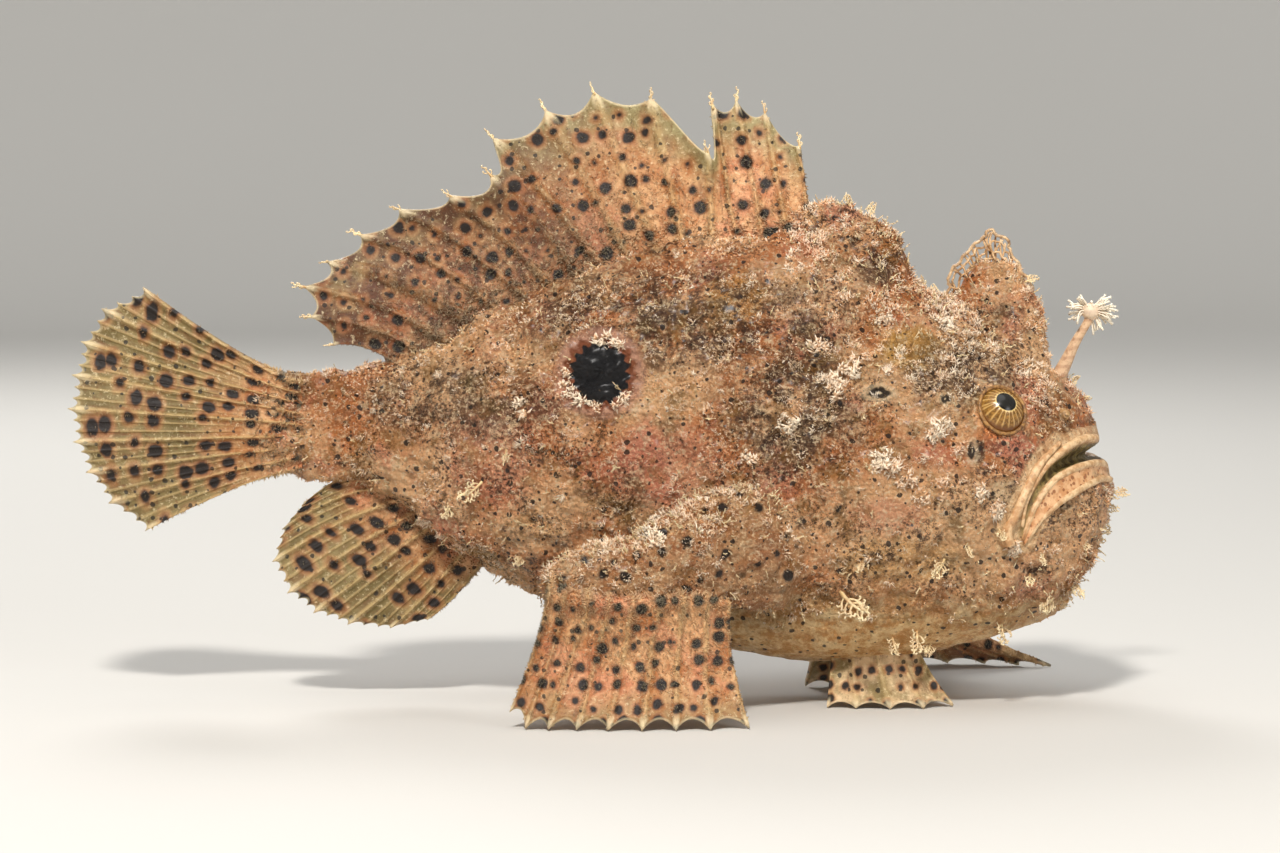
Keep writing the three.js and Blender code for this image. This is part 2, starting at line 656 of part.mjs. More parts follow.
function eyeRim(side) {
  const { centre, normal } = eyeFrame(side);
  const ring = new THREE.TorusGeometry(4.95, 0.95, 5, 12);
  ring.applyQuaternion(new THREE.Quaternion().setFromUnitVectors(vec(0, 0, 1), normal));
  const middle = centre.clone().addScaledVector(normal, 2.9);
  return solidOf(ring.translate(...middle.toArray()));
}

// Mouth: the opening seen from the side, and the line that parts the jaws and runs on to the throat
const mouthOpening = [
  [mouthCorner.x, mouthCorner.z + 1.2], [84.4, 40.2], [86.9, 44.4], [88.6, 46.8], [91.4, 49.1], [94, 50.7], [96.6, 51.6],
  [112, 51.6], [112, 48.4], [99, 48.2], [95.3, 47.4], [91, 46.4], [87.7, 44.2], [84.8, 39.6], [mouthCorner.x + 0.3, mouthCorner.z + 0.6],
];
const partingLine = [
  [114, 50], [98, 49.8], [91.2, 47.8], [87.3, 44.3], [mouthCorner.x + 0.2, mouthCorner.z + 0.8],
  [81.6, 27], [79, 18], [77, 6], [76, -4],
];

function jawSplit() {
  const shifted = (by) => partingLine.map(([x, z], i) => (i < 3 ? [x, z + by] : [x - by, z + by * 0.3]));
  const half = partingGap / 2;
  return {
    upper: sideSlice([...shifted(half), [-120, -4], [-120, 140], [114, 140]]),
    lower: sideSlice([...shifted(-half), [130, -4], [130, 51]]),
  };
}

// A lip follows the mouth's edge from one corner round the front to the other.
function lip(edge, radii, sink) {
  const half = edge.map(([x, z]) => vec(x, Math.max(0, flankAt(x, z) - sink), z));
  const front = half.at(-1).clone().setY(0);
  const right = half.map((p) => p.clone().setY(-p.y));
  const left = half.slice().reverse();
  return tube([...right, front, ...left], [...radii, radii.at(-1), ...radii.slice().reverse()], 6, 1);
}

const upperLip = () =>
  lip([[84.6, 42.6], [88.2, 47.8], [91.2, 50.4], [94.2, 52.2], [97.2, 53.1], [99.4, 52.8]], [0.8, 1.0, 1.1, 1.15, 1.15, 1.15], 0.4);

const lowerLip = () =>
  lip(
    [[83.9, 33.4], [86.6, 38.8], [90.2, 42.7], [93.8, 44.8], [97.4, 46], [100.4, 46.3], [102.2, 45.6]],
    [1.2, 1.8, 2.0, 2.1, 2.0, 1.9, 1.8],
    1.0,
  );

// The upper jaw's end bone shows as a fold down to the mouth corner.
const jawFold = (side) =>
  tube(
    [[91.6, 52.4], [87.4, 48.6], [84.2, 43.2], [82, 38.5], [80.6, 35.6], [80.9, 33]].map(([x, z]) => outOf(x, z, side, -0.2)),
    [0.8, 1.05, 1.15, 1.3, 1.5, 1.7],
    6,
    1,
  );

function nostril(side) {
  const at = outOf(92.7, 57.7, side);
  const rise = new THREE.CylinderGeometry(0.75, 1.2, 2.4, 8).rotateX(side * Math.PI / 2).translate(at.x, at.y, at.z);
  const pit = new THREE.CylinderGeometry(0.38, 0.38, 1.6, 6).rotateX(Math.PI / 2).translate(at.x, at.y + side * 1.4, at.z);
  return { rise: solidOf(rise), pit: solidOf(pit) };
}

const bothSides = (make) => [make(-1), make(1)];

// Fronds along the lower edge of the head and on the cheeks
const chinFronds = [
  { x: 103.2, z: 40.2, toward: [1, 0, -0.05], length: 4.2 },
  { x: 99.4, z: 30.4, toward: [0.75, 0, -0.75], length: 3.6 },
];
const cheekFronds = [
  { x: 90.5, z: 20.6, length: 4.0 },
  { x: 85.5, z: 26.8, length: 2.6 },
];
const throatFronds = [
  { x: 66.5, z: 13.2, length: 4.0 },
  { x: 58.8, z: 26.4, length: 2.6 },
];
const flankFronds = [
  { x: -22, z: 44.5, length: 4.6 },
  { x: 44, z: 20.4, length: 4.4, rightOnly: true },
];

const hanging = (list) =>
  list.flatMap(({ x, z, length, rightOnly }) =>
    (rightOnly ? [-1] : [-1, 1]).flatMap((side) => frond(outOf(x, z, side, -0.2), vec(side < 0 ? -0.15 : 0.1, side * 0.62, -0.8), length, 2)),
  );

// The body is parted into tail stalk, trunk, head and lower jaw.
const neckLine = [[50, 140], [52.5, 60], [55, -10]];
const stalkLine = [[-40.5, 140], [-41.5, -10]];

function regionAhead(line, gap) {
  return sideSlice([...line.map(([x, z]) => [x + gap / 2, z]), [150, -10], [150, 140]]);
}

const aheadOfNeck = regionAhead(neckLine, partingGap);
const aheadOfNeckWide = regionAhead(neckLine, -partingGap);
const aheadOfStalk = regionAhead(stalkLine, partingGap);
const aheadOfStalkWide = regionAhead(stalkLine, -partingGap);
const jaws = jawSplit();

function head() {
  const sockets = bothSides((side) => ball(eyeFrame(side).centre, eyeRadius + partingGap));
  const nostrils = bothSides(nostril);
  const skull = body.intersect(aheadOfNeck).intersect(jaws.upper).subtract(sideSlice(mouthOpening));
  const dressed = joined([
    largest(skull),
    upperLip(),
    ...bothSides(jawFold),
    ...bothSides(eyeRim),
    ...nostrils.map((n) => n.rise),
    ...hanging(throatFronds),
  ]);
  const cut = [...sockets, ...nostrils.map((n) => n.pit)].reduce((solid, hole) => solid.subtract(hole), dressed);
  return largest(cut.intersect(jaws.upper));
}

function lowerJaw() {
  const chin = largest(body.intersect(aheadOfNeck).intersect(jaws.lower).subtract(sideSlice(mouthOpening)));
  const front = chinFronds.flatMap(({ x, z, toward, length }) => frond(vec(x, 0, z), vec(...toward), length, 3));
  return largest(joined([chin, lowerLip(), ...front, ...hanging(cheekFronds)]).intersect(jaws.lower));
}

// The pale skin inside the mouth fills the back of the opening.
function mouthLining() {
  const shrink = mouthOpening.map(([x, z], i) => [x + 0.6, z + (i < 8 ? -partingGap * 1.6 : partingGap * 1.6)]);
  const plug = bodyCore.intersect(sideSlice(shrink));
  const keepOff = [headSolid, jawSolid].map((solid) => solid);
  return largest(keepOff.reduce((rest, solid) => rest.subtract(solid), plug));
}

const trunk = () => joined([largest(body.intersect(aheadOfStalk).subtract(aheadOfNeckWide)), ...hanging(flankFronds)]);
const tailStalk = () => largest(body.subtract(aheadOfStalkWide));

const headSolid = head();
const jawSolid = lowerJaw();

// Finishes
const finishes = {
  skin: { color: 0xc58e5e, roughness: 0.62 },
  jawSkin: { color: 0xcf9d6c, roughness: 0.6 },
  finWeb: { color: 0xc9a468, roughness: 0.5 },
  paleFlesh: { color: 0xe6d6bd, roughness: 0.5 },
  lining: { color: 0xb39a58, roughness: 0.4 },
  eye: { color: 0x9a7330, roughness: 0.12 },
};
const materials = Object.fromEntries(
  Object.entries(finishes).map(([name, look]) => [name, new THREE.MeshStandardMaterial({ ...look, metalness: 0 })]),
);

function meshOf(name, solid, finish) {
  const { numProp, vertProperties, triVerts } = solid.getMesh();
  const position = new Float32Array((vertProperties.length / numProp) * 3);
  for (let i = 0; i < position.length / 3; i++)
    position.set(vertProperties.subarray(i * numProp, i * numProp + 3), i * 3);
  const geometry = new THREE.BufferGeometry();
  geometry.setAttribute("position", new THREE.BufferAttribute(position, 3));
  geometry.setIndex(new THREE.BufferAttribute(new Uint32Array(triVerts), 1));
  geometry.computeVertexNormals();
  const mesh = new THREE.Mesh(geometry, materials[finish]);
  mesh.name = name;
  return mesh;
}

const pieces = [
  ["tail_fin", tailFin(), "finWeb"],
  ["tail_stalk", tailStalk(), "skin"],
  ["trunk", trunk(), "skin"],
  ["head", headSolid, "skin"],
  ["lower_jaw", jawSolid, "jawSkin"],
  ["mouth_lining", mouthLining(), "lining"],
  ["eye_right", eyeball(-1), "eye"],
  ["eye_left", eyeball(1), "eye"],
  ["lure_rod", lureRod(), "paleFlesh"],
  ["lure", lure(), "paleFlesh"],
  ["second_spine", secondSpine(), "skin"],
  ["third_spine", thirdSpine(), "skin"],
  ["dorsal_fin", dorsalFin(), "finWeb"],
  ["anal_fin", analFin(), "finWeb"],
  ["arm_right", rightArmSolids.arm, "skin"],
  ["arm_left", leftArmSolids.arm, "skin"],
  ["breast_fin_right", rightBreastFin(), "finWeb"],
  ["breast_fin_left", leftBreastFin(), "finWeb"],
  ["belly_fin_right", bellyFin(-1, 0), "finWeb"],
  ["belly_fin_left", bellyFin(1, 3), "finWeb"],
];

const frogfish = new THREE.Group();
frogfish.add(...pieces.map(([name, solid, finish]) => meshOf(name, solid, finish)));

// The footprint's middle is the origin.
const extent = new THREE.Box3().setFromObject(frogfish);
frogfish.position.set(-(extent.min.x + extent.max.x) / 2, -(extent.min.y + extent.max.y) / 2, -extent.min.z);

export default frogfish;
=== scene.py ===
import bpy
import numpy as np
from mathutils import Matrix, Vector


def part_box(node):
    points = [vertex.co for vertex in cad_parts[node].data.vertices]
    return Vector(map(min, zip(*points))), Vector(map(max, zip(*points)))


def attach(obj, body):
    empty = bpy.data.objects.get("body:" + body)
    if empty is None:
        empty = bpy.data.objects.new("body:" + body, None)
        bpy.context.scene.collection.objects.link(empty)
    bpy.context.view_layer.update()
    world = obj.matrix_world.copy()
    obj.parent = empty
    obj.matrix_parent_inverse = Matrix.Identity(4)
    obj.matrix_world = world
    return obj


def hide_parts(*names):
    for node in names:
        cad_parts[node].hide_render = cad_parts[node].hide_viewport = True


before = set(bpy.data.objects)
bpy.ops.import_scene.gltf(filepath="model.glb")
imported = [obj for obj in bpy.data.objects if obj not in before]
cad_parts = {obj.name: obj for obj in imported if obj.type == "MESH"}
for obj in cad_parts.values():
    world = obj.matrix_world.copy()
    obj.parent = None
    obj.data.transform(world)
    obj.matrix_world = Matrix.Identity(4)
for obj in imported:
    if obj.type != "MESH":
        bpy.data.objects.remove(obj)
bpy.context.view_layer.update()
mm = 0.001  # in metres
chance = np.random.default_rng(11)  # all random draws but the lattice's come from here, in a fixed order

# The fish's plan, in millimetres, with the snout towards +x. Ribs run from the tail stalk to the chin.
bodyPlan = {
    "backX": [
        -67, -61.9, -51.7, -43.7, -33.7, -20.7, -6.8, 8.2, 24.1, 40.1,
        54.5, 68.1, 80.1, 90.1, 96.7, 100, 101.6, 103, 103.8,
    ],
    "backZ": [
        62.5, 65, 65.4, 67.4, 71.2, 78.2, 84.6, 89.6, 93.2, 93.6,
        88.8, 81.2, 74.2, 67, 61, 55.4, 49.6, 45.8, 42.4,
    ],
    "bellyX": [
        -67.5, -62.5, -51.9, -44.5, -35.9, -24.9, -10.9, 6.2, 24.3, 42.3,
        59.4, 73.4, 84.5, 91.5, 95.8, 99, 101.4, 103, 103.8,
    ],
    "bellyZ": [
        48, 45.2, 44.2, 42.2, 36.7, 28.7, 21.6, 15.4, 10.9, 7.8,
        8.2, 11, 14.4, 17.4, 22, 27.7, 33.3, 38.8, 42.4,
    ],
    "half": [
        0.9, 2.4, 5, 7.5, 11.5, 16, 20, 23, 25.5, 27,
        26.8, 25.5, 22.8, 19.2, 15.2, 11, 7.2, 3.6, 0,
    ],
    "widestDrop": 0.16,  # how far below half height a rib is widest
    "bellyFlare": 0.18,  # how much fuller a rib is towards the belly
    "swellFrom": 8,  # half width from which swellings have their full rise
    "swellings": [  # x, z, spread, rise
        (79.8, 59.5, 6.5, 1.5),
        (36, 36, 13, 2.2),
        (76, 44, 9, 1.2),
        (60, 69, 9, -1.6),
        (6, 42, 11, -1.2),
        (91, 60, 5, 0.9),
    ],
}
ribCount = len(bodyPlan["half"]) - 1


def smoothAt(values, s):
    # Hermite spline through evenly spaced values; each knot's slope is half the difference of its neighbours.
    v = np.asarray(values, float)
    s = np.asarray(s, float)
    i = np.clip(np.floor(s).astype(int), 0, len(v) - 2)
    f = s - i
    slope = np.gradient(v, axis=0)
    if v.ndim > 1:
        f = f[..., None]
    return (
        v[i] * (2 * f**3 - 3 * f**2 + 1)
        + slope[i] * (f**3 - 2 * f**2 + f)
        + v[i + 1] * (3 * f**2 - 2 * f**3)
        + slope[i + 1] * (f**3 - f**2)
    )


def roundAngles(count):
    # Angles of count even steps round a circle, from 0
    return np.linspace(0, 2 * np.pi, count, endpoint=False)


def smoothStep(low, high, x):
    # 3 t^2 - 2 t^3, where t runs from 0 at low to 1 at high and stays between them.
    t = np.clip((x - low) / (high - low), 0, 1)
    return t * t * (3 - 2 * t)


def unit(v):
    # Each vector divided by its own length
    return v / np.maximum(np.linalg.norm(v, axis=-1, keepdims=True), 1e-9)


def swellAt(x, z):
    # Sum of bell curves: each is its rise times e to the minus squared distance over squared spread.
    return sum(
        rise * np.exp(-((x - cx) ** 2 + (z - cz) ** 2) / spread**2)
        for cx, cz, spread, rise in bodyPlan["swellings"]
    )


def bodyPoint(s, angle):
    # A rib is a line from belly to back; the sine of the angle goes up it and the cosine goes out to the flank.
    rib = {k: smoothAt(bodyPlan[k], s) for k in ("backX", "backZ", "bellyX", "bellyZ", "half")}
    up, out = np.sin(angle), np.cos(angle)
    share = (up - bodyPlan["widestDrop"] * (1 - up * up) + 1) / 2
    x = rib["bellyX"] + (rib["backX"] - rib["bellyX"]) * share
    z = rib["bellyZ"] + (rib["backZ"] - rib["bellyZ"]) * share
    fullness = np.where(up > 0, 1, 1 + bodyPlan["bellyFlare"] * up)
    half = np.maximum(rib["half"], 0)
    swell = np.abs(out) * swellAt(x, z) * np.minimum(1, half / bodyPlan["swellFrom"])
    y = -np.sign(out) * np.abs(out) ** fullness * (half + swell)
    return np.stack([x, y, z], axis=-1)


def placeOnBody(x, z, halvings=26, rounds=16):
    # Halves the range of ribs until the rib through (x, z) is found, then finds the angle whose height fits.
    x, z = np.asarray(x, float), np.asarray(z, float)
    low, high = np.zeros_like(x), np.full_like(x, ribCount)
    for _ in range(halvings):
        s = (low + high) / 2
        bx, bz, kx, kz = (smoothAt(bodyPlan[k], s) for k in ("backX", "backZ", "bellyX", "bellyZ"))
        ahead = (bz - kz) * (x - kx) - (bx - kx) * (z - kz) > 0
        low, high = np.where(ahead, s, low), np.where(ahead, high, s)
    bz, kz = smoothAt(bodyPlan["backZ"], low), smoothAt(bodyPlan["bellyZ"], low)
    height = np.clip(2 * (z - kz) / np.maximum(bz - kz, 0.1) - 1, -1, 1)
    angle = np.zeros_like(x)
    for _ in range(rounds):
        angle = np.arcsin(np.clip(height + bodyPlan["widestDrop"] * (1 - np.sin(angle) ** 2), -1, 1))
    return low, angle


def flankAt(x, z):
    # How far out the flank lies at (x, z): the y of the body's point there, without its sign
    s, angle = placeOnBody(x, z)
    return np.abs(bodyPoint(s, angle)[..., 1])


def onFlank(x, z, side, lift=0.0):
    # x and z stay; y is side times the sum of the flank's distance and the lift.
    x, z = np.asarray(x, float), np.asarray(z, float)
    return np.stack([x, side * (flankAt(x, z) + lift), z], axis=-1)


eyePlan = {
    "x": 79.8,
    "z": 59.0,
    "radius": 5.4,
    "bulge": 2.6,  # how far the ball stands out of the flank
    "rimRadius": 4.95,
    "rimThick": 0.38,
    "rimLift": 2.9,
    "lookUp": 13.0,  # degrees
    "lensRise": 0.05,  # the front stands up by this share of the radius, over an angle in radians
    "lensAngle": 0.4,
}


def eyeFrame(side):
    # The normal is the cross product of the flank's steps along x and z; the centre lies bulge less radius along it.
    at = lambda dx, dz: onFlank(eyePlan["x"] + dx, eyePlan["z"] + dz, side)
    normal = unit(np.cross(at(0.5, 0) - at(-0.5, 0), at(0, 0.5) - at(0, -0.5)))
    normal = normal * np.sign(normal[1] * side)
    return at(0, 0) + normal * (eyePlan["bulge"] - eyePlan["radius"]), normal


eyeBox = np.array([list(c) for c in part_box("eye_right")])
shift = eyeBox.mean(axis=0) / mm - eyeFrame(-1)[0]  # from the plan to the frame, in millimetres
print("plan to frame", shift.round(3))


# Meshes from arrays
def makePiece(name, points, faces, material, slotName=None, nodes=(), smooth=True, values=None):
    # Points are in the plan's millimetres; faces are rows of three corners; values are numbers kept at each point.
    mesh = bpy.data.meshes.new(name)
    mesh.vertices.add(len(points))
    mesh.vertices.foreach_set("co", ((points + shift) * mm).astype(np.float32).ravel())
    mesh.loops.add(faces.size)
    mesh.loops.foreach_set("vertex_index", faces.astype(np.int32).ravel())
    mesh.polygons.add(len(faces))
    mesh.polygons.foreach_set("loop_start", np.arange(0, faces.size, 3, dtype=np.int32))
    mesh.update(calc_edges=True)
    if smooth:
        mesh.shade_smooth()
    for key, numbers in (values or {}).items():
        layer = mesh.attributes.new(key, "FLOAT", "POINT")
        layer.data.foreach_set("value", np.asarray(numbers, np.float32).ravel())
    piece = bpy.data.objects.new(name, mesh)
    bpy.context.scene.collection.objects.link(piece)
    if material:
        mesh.materials.append(material)
    if slotName:
        finishPiece(piece, nodes)
    return piece


def finishPiece(piece, nodes=()):
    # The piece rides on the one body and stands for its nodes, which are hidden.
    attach(piece, "root")
    if nodes:
        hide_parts(*nodes)


def readAll(items, key, width, kind=np.float32):
    # One property of all items, as rows of the given width
    values = np.empty(len(items) * width, kind)
    items.foreach_get(key, values)
    return values.reshape(-1, width)


def faceCross(corner):
    # Cross product of two edges of each face, given its corners: it points outwards and is twice the area long.
    return np.cross(corner[:, 1] - corner[:, 0], corner[:, 2] - corner[:, 0])


def closedRings(rings):
    # Rings (tubes, rings, points, 3) become closed tubes: quads between rings cut in two, and a fan on each end.
    k, n, m, _ = rings.shape
    poles = np.stack([rings[:, 0].mean(axis=1), rings[:, -1].mean(axis=1)], axis=1)
    points = np.concatenate([rings.reshape(k, n * m, 3), poles], axis=1)
    i, j = np.meshgrid(np.arange(n - 1), np.arange(m), indexing="ij")
    a, b = i * m + j, i * m + (j + 1) % m
    c, d = b + m, a + m
    around = np.arange(m)
    following = (around + 1) % m
    start = np.stack([np.full(m, n * m), following, around], axis=1)
    end = np.stack([np.full(m, n * m + 1), (n - 1) * m + around, (n - 1) * m + following], axis=1)
    one = np.concatenate([np.stack([a, b, c], -1).reshape(-1, 3), np.stack([a, c, d], -1).reshape(-1, 3), start, end])
    faces = (one[None] + (np.arange(k) * (n * m + 2))[:, None, None]).reshape(-1, 3)
    return points.reshape(-1, 3), faces


def turnedOut(points, faces):
    # The signed volume is the sum of the corner triple products; where it is negative, every face is turned over.
    p = points - points.mean(axis=0)
    volume = np.einsum("ij,ij->i", p[faces[:, 0]], np.cross(p[faces[:, 1]], p[faces[:, 2]])).sum()
    return faces if volume > 0 else faces[:, ::-1]


def tubes(paths, radii, sides=6):
    # A circle of the given radius is carried along each path, square to its direction. Its first axis is the cross
    # product of that direction with y, or with x where the path runs mostly along y.
    paths, radii = np.asarray(paths, float), np.asarray(radii, float)
    along = unit(np.gradient(paths, axis=1))
    whole = unit(paths[:, -1] - paths[:, 0])
    aside = np.where(np.abs(whole[:, 1:2]) < 0.8, [[0.0, 1.0, 0.0]], [[1.0, 0.0, 0.0]])
    across = unit(np.cross(along, aside[:, None, :]))
    over = np.cross(along, across)
    turn = roundAngles(sides)
    circle = np.cos(turn)[:, None] * across[:, :, None, :] + np.sin(turn)[:, None] * over[:, :, None, :]
    points, faces = closedRings(paths[:, :, None, :] + radii[:, :, None, None] * circle)
    return points, turnedOut(points, faces)


def oneTube(knots, radii, steps=40, sides=12):
    # Knots and radii are read off the smooth spline at even steps, and one tube runs along them.
    at = np.linspace(0, len(knots) - 1, steps)
    return tubes(smoothAt(knots, at)[None], smoothAt(radii, at)[None], sides)


def joinParts(parts):
    # Points end to end; each part's faces are raised by the number of points before it.
    offset, points, faces = 0, [], []
    for p, f in parts:
        points.append(p)
        faces.append(f + offset)
        offset += len(p)
    return np.concatenate(points), np.concatenate(faces)


class Lattice:
    # Smooth noise: random numbers on a lattice, blended between its corners. It repeats after "period" corners.
    def __init__(self, seed, period=32):
        # Each corner holds a random number from -1 to 1.
        self.period = period
        self.table = np.random.default_rng(seed).random((period, period, period)) * 2 - 1

    def __call__(self, p, size):
        # Sum over the eight corners round p of number times weight. Along each axis the weight is 3 f^2 - 2 f^3 or
        # 1 less that, where f is the share of the way across.
        q = p / size
        i = np.floor(q).astype(int)
        f = q - i
        f = f * f * (3 - 2 * f)
        total = 0
        for dx in (0, 1):
            for dy in (0, 1):
                for dz in (0, 1):
                    w = np.where(dx, f[..., 0], 1 - f[..., 0]) * np.where(dy, f[..., 1], 1 - f[..., 1])
                    w = w * np.where(dz, f[..., 2], 1 - f[..., 2])
                    x, y, z = (i[..., k] + step for k, step in enumerate((dx, dy, dz)))
                    total = total + w * self.table[x % self.period, y % self.period, z % self.period]
        return total


lumps = Lattice(3)


def tone(code):
    # A screen value c made linear: c / 12.92 up to 0.04045, and ((c + 0.055) / 1.055) to the power 2.4 above
    c = np.array([int(code[i : i + 2], 16) for i in (0, 2, 4)]) / 255
    return (*np.where(c <= 0.04045, c / 12.92, ((c + 0.055) / 1.055) ** 2.4), 1.0)


class Recipe:
    # A node tree written as sums: each call adds a node and returns its output.
    def __init__(self, name):
        # A new material and its one shader
        self.material = bpy.data.materials.new(name)
        self.material.use_nodes = True
        self.tree = self.material.node_tree
        self.shader = self.tree.nodes["Principled BSDF"]

    def put(self, socket, value):
        # A node's output is linked; a number or colour is set.
        if isinstance(value, bpy.types.NodeSocket):
            self.tree.links.new(value, socket)
        else:
            socket.default_value = value

    def node(self, kind, settings=None, **inputs):
        # Inputs go by name, or by place as n0, n1 and n2.
        made = self.tree.nodes.new(kind)
        for key, value in (settings or {}).items():
            setattr(made, key, value)
        for key, value in inputs.items():
            self.put(made.inputs[int(key[1:]) if key[0] == "n" and key[1:].isdigit() else key], value)
        return made

    def plan(self):
        # Object coordinates in the plan's millimetres
        coords = self.node("ShaderNodeTexCoord").outputs["Object"]
        made = self.node("ShaderNodeMapping", Vector=coords)
        made.inputs["Scale"].default_value = (1 / mm,) * 3
        made.inputs["Location"].default_value = tuple(-shift)
        return made.outputs[0]

    def calc(self, operation, a, b=0.0, c=0.0):
        # One step of arithmetic
        return self.node("ShaderNodeMath", {"operation": operation}, n0=a, n1=b, n2=c).outputs[0]

    def times(self, a, b):
        # a * b
        return self.calc("MULTIPLY", a, b)

    def plus(self, a, b):
        # a + b
        return self.calc("ADD", a, b)

    def less(self, a, b):
        # a - b
        return self.calc("SUBTRACT", a, b)

    def rest(self, share):
        # 1 - share
        return self.less(1.0, share)

    def most(self, a, b):
        # The larger of the two
        return self.calc("MAXIMUM", a, b)

    def scaled(self, value, by, more):
        # value * by + more
        return self.calc("MULTIPLY_ADD", value, by, more)

    def ease(self, value, low, high, toLow=0.0, toHigh=1.0):
        # A smooth step of the value, from toLow at low to toHigh at high
        made = self.node("ShaderNodeMapRange", {"interpolation_type": "SMOOTHSTEP"}, Value=value)
        for key, number in (("From Min", low), ("From Max", high), ("To Min", toLow), ("To Max", toHigh)):
            made.inputs[key].default_value = number
        return made.outputs[0]

    def blend(self, share, a, b):
        # a + (b - a) * share
        made = self.node("ShaderNodeMix", {"data_type": "RGBA"})
        self.put(made.inputs[0], share)
        self.put(made.inputs[6], a)
        self.put(made.inputs[7], b)
        return made.outputs[2]

    def noise(self, vector, size, detail=3.0, rough=0.55):
        # Cloudy noise from 0 to 1, its largest lumps about size across
        made = self.node("ShaderNodeTexNoise", Vector=vector, Scale=1 / size, Detail=detail, Roughness=rough)
        return made.outputs["Fac"]

    def cells(self, vector, size, spread=1.0, flat=False):
        # Distance to the nearest of points scattered about size apart, and that point's own random colour
        shape = {"voronoi_dimensions": "2D" if flat else "3D"}
        made = self.node("ShaderNodeTexVoronoi", shape, Vector=vector, Scale=1 / size, Randomness=spread)
        return made.outputs["Distance"], made.outputs["Color"]

    def moved(self, vector, by=(0, 0, 0), scale=(1, 1, 1)):
        # vector * scale + by
        made = self.node("ShaderNodeMapping", Vector=vector)
        made.inputs["Location"].default_value = by
        made.inputs["Scale"].default_value = scale
        return made.outputs[0]

    def wobble(self, vector, size, amount):
        # The place is pushed about by a coloured noise, so edges turn ragged.
        made = self.node("ShaderNodeTexNoise", Vector=vector, Scale=1 / size, Detail=2.0)
        off = self.node("ShaderNodeVectorMath", {"operation": "SUBTRACT"}, n0=made.outputs["Color"], n1=(0.5, 0.5, 0.5))
        big = self.node("ShaderNodeVectorMath", {"operation": "SCALE"}, n0=off.outputs[0], Scale=amount)
        return self.node("ShaderNodeVectorMath", {"operation": "ADD"}, n0=vector, n1=big.outputs[0]).outputs[0]

    def farFrom(self, vector, x, z, wide=1.0, tall=1.0):
        # Distance from a place seen from the side, in units of the given half width and half height
        local = self.moved(vector, (-x / wide, 0, -z / tall), (1 / wide, 0, 1 / tall))
        return self.length(local)

    def length(self, vector):
        # Square root of x^2 + y^2 + z^2
        return self.node("ShaderNodeVectorMath", {"operation": "LENGTH"}, n0=vector).outputs["Value"]

    def across(self, a, b):
        # A flat place made of two numbers
        return self.node("ShaderNodeCombineXYZ", n0=a, n1=b).outputs[0]

    def value(self, name):
        # A number kept at each point of the mesh
        return self.node("ShaderNodeAttribute", {"attribute_name": name}).outputs["Fac"]

    def part(self, vector, axis):
        # One coordinate of a vector
        return self.node("ShaderNodeSeparateXYZ", n0=vector).outputs[axis]

    def bump(self, height, distance, strength=1.0):
        # The normal tilted by the slope of height * distance, with distance in millimetres
        return self.node("ShaderNodeBump", Height=height, Distance=distance * mm, Strength=strength).outputs[0]

    def finish(self, color, rough, normal=None, **fixed):
        # Colour, roughness and normal are linked; the rest are constants on the shader's own sockets.
        self.put(self.shader.inputs["Base Color"], color)
        self.put(self.shader.inputs["Roughness"], rough)
        if normal is not None:
            self.put(self.shader.inputs["Normal"], normal)
        for key, number in fixed.items():
            self.shader.inputs[key.replace("_", " ")].default_value = number
        return self.material


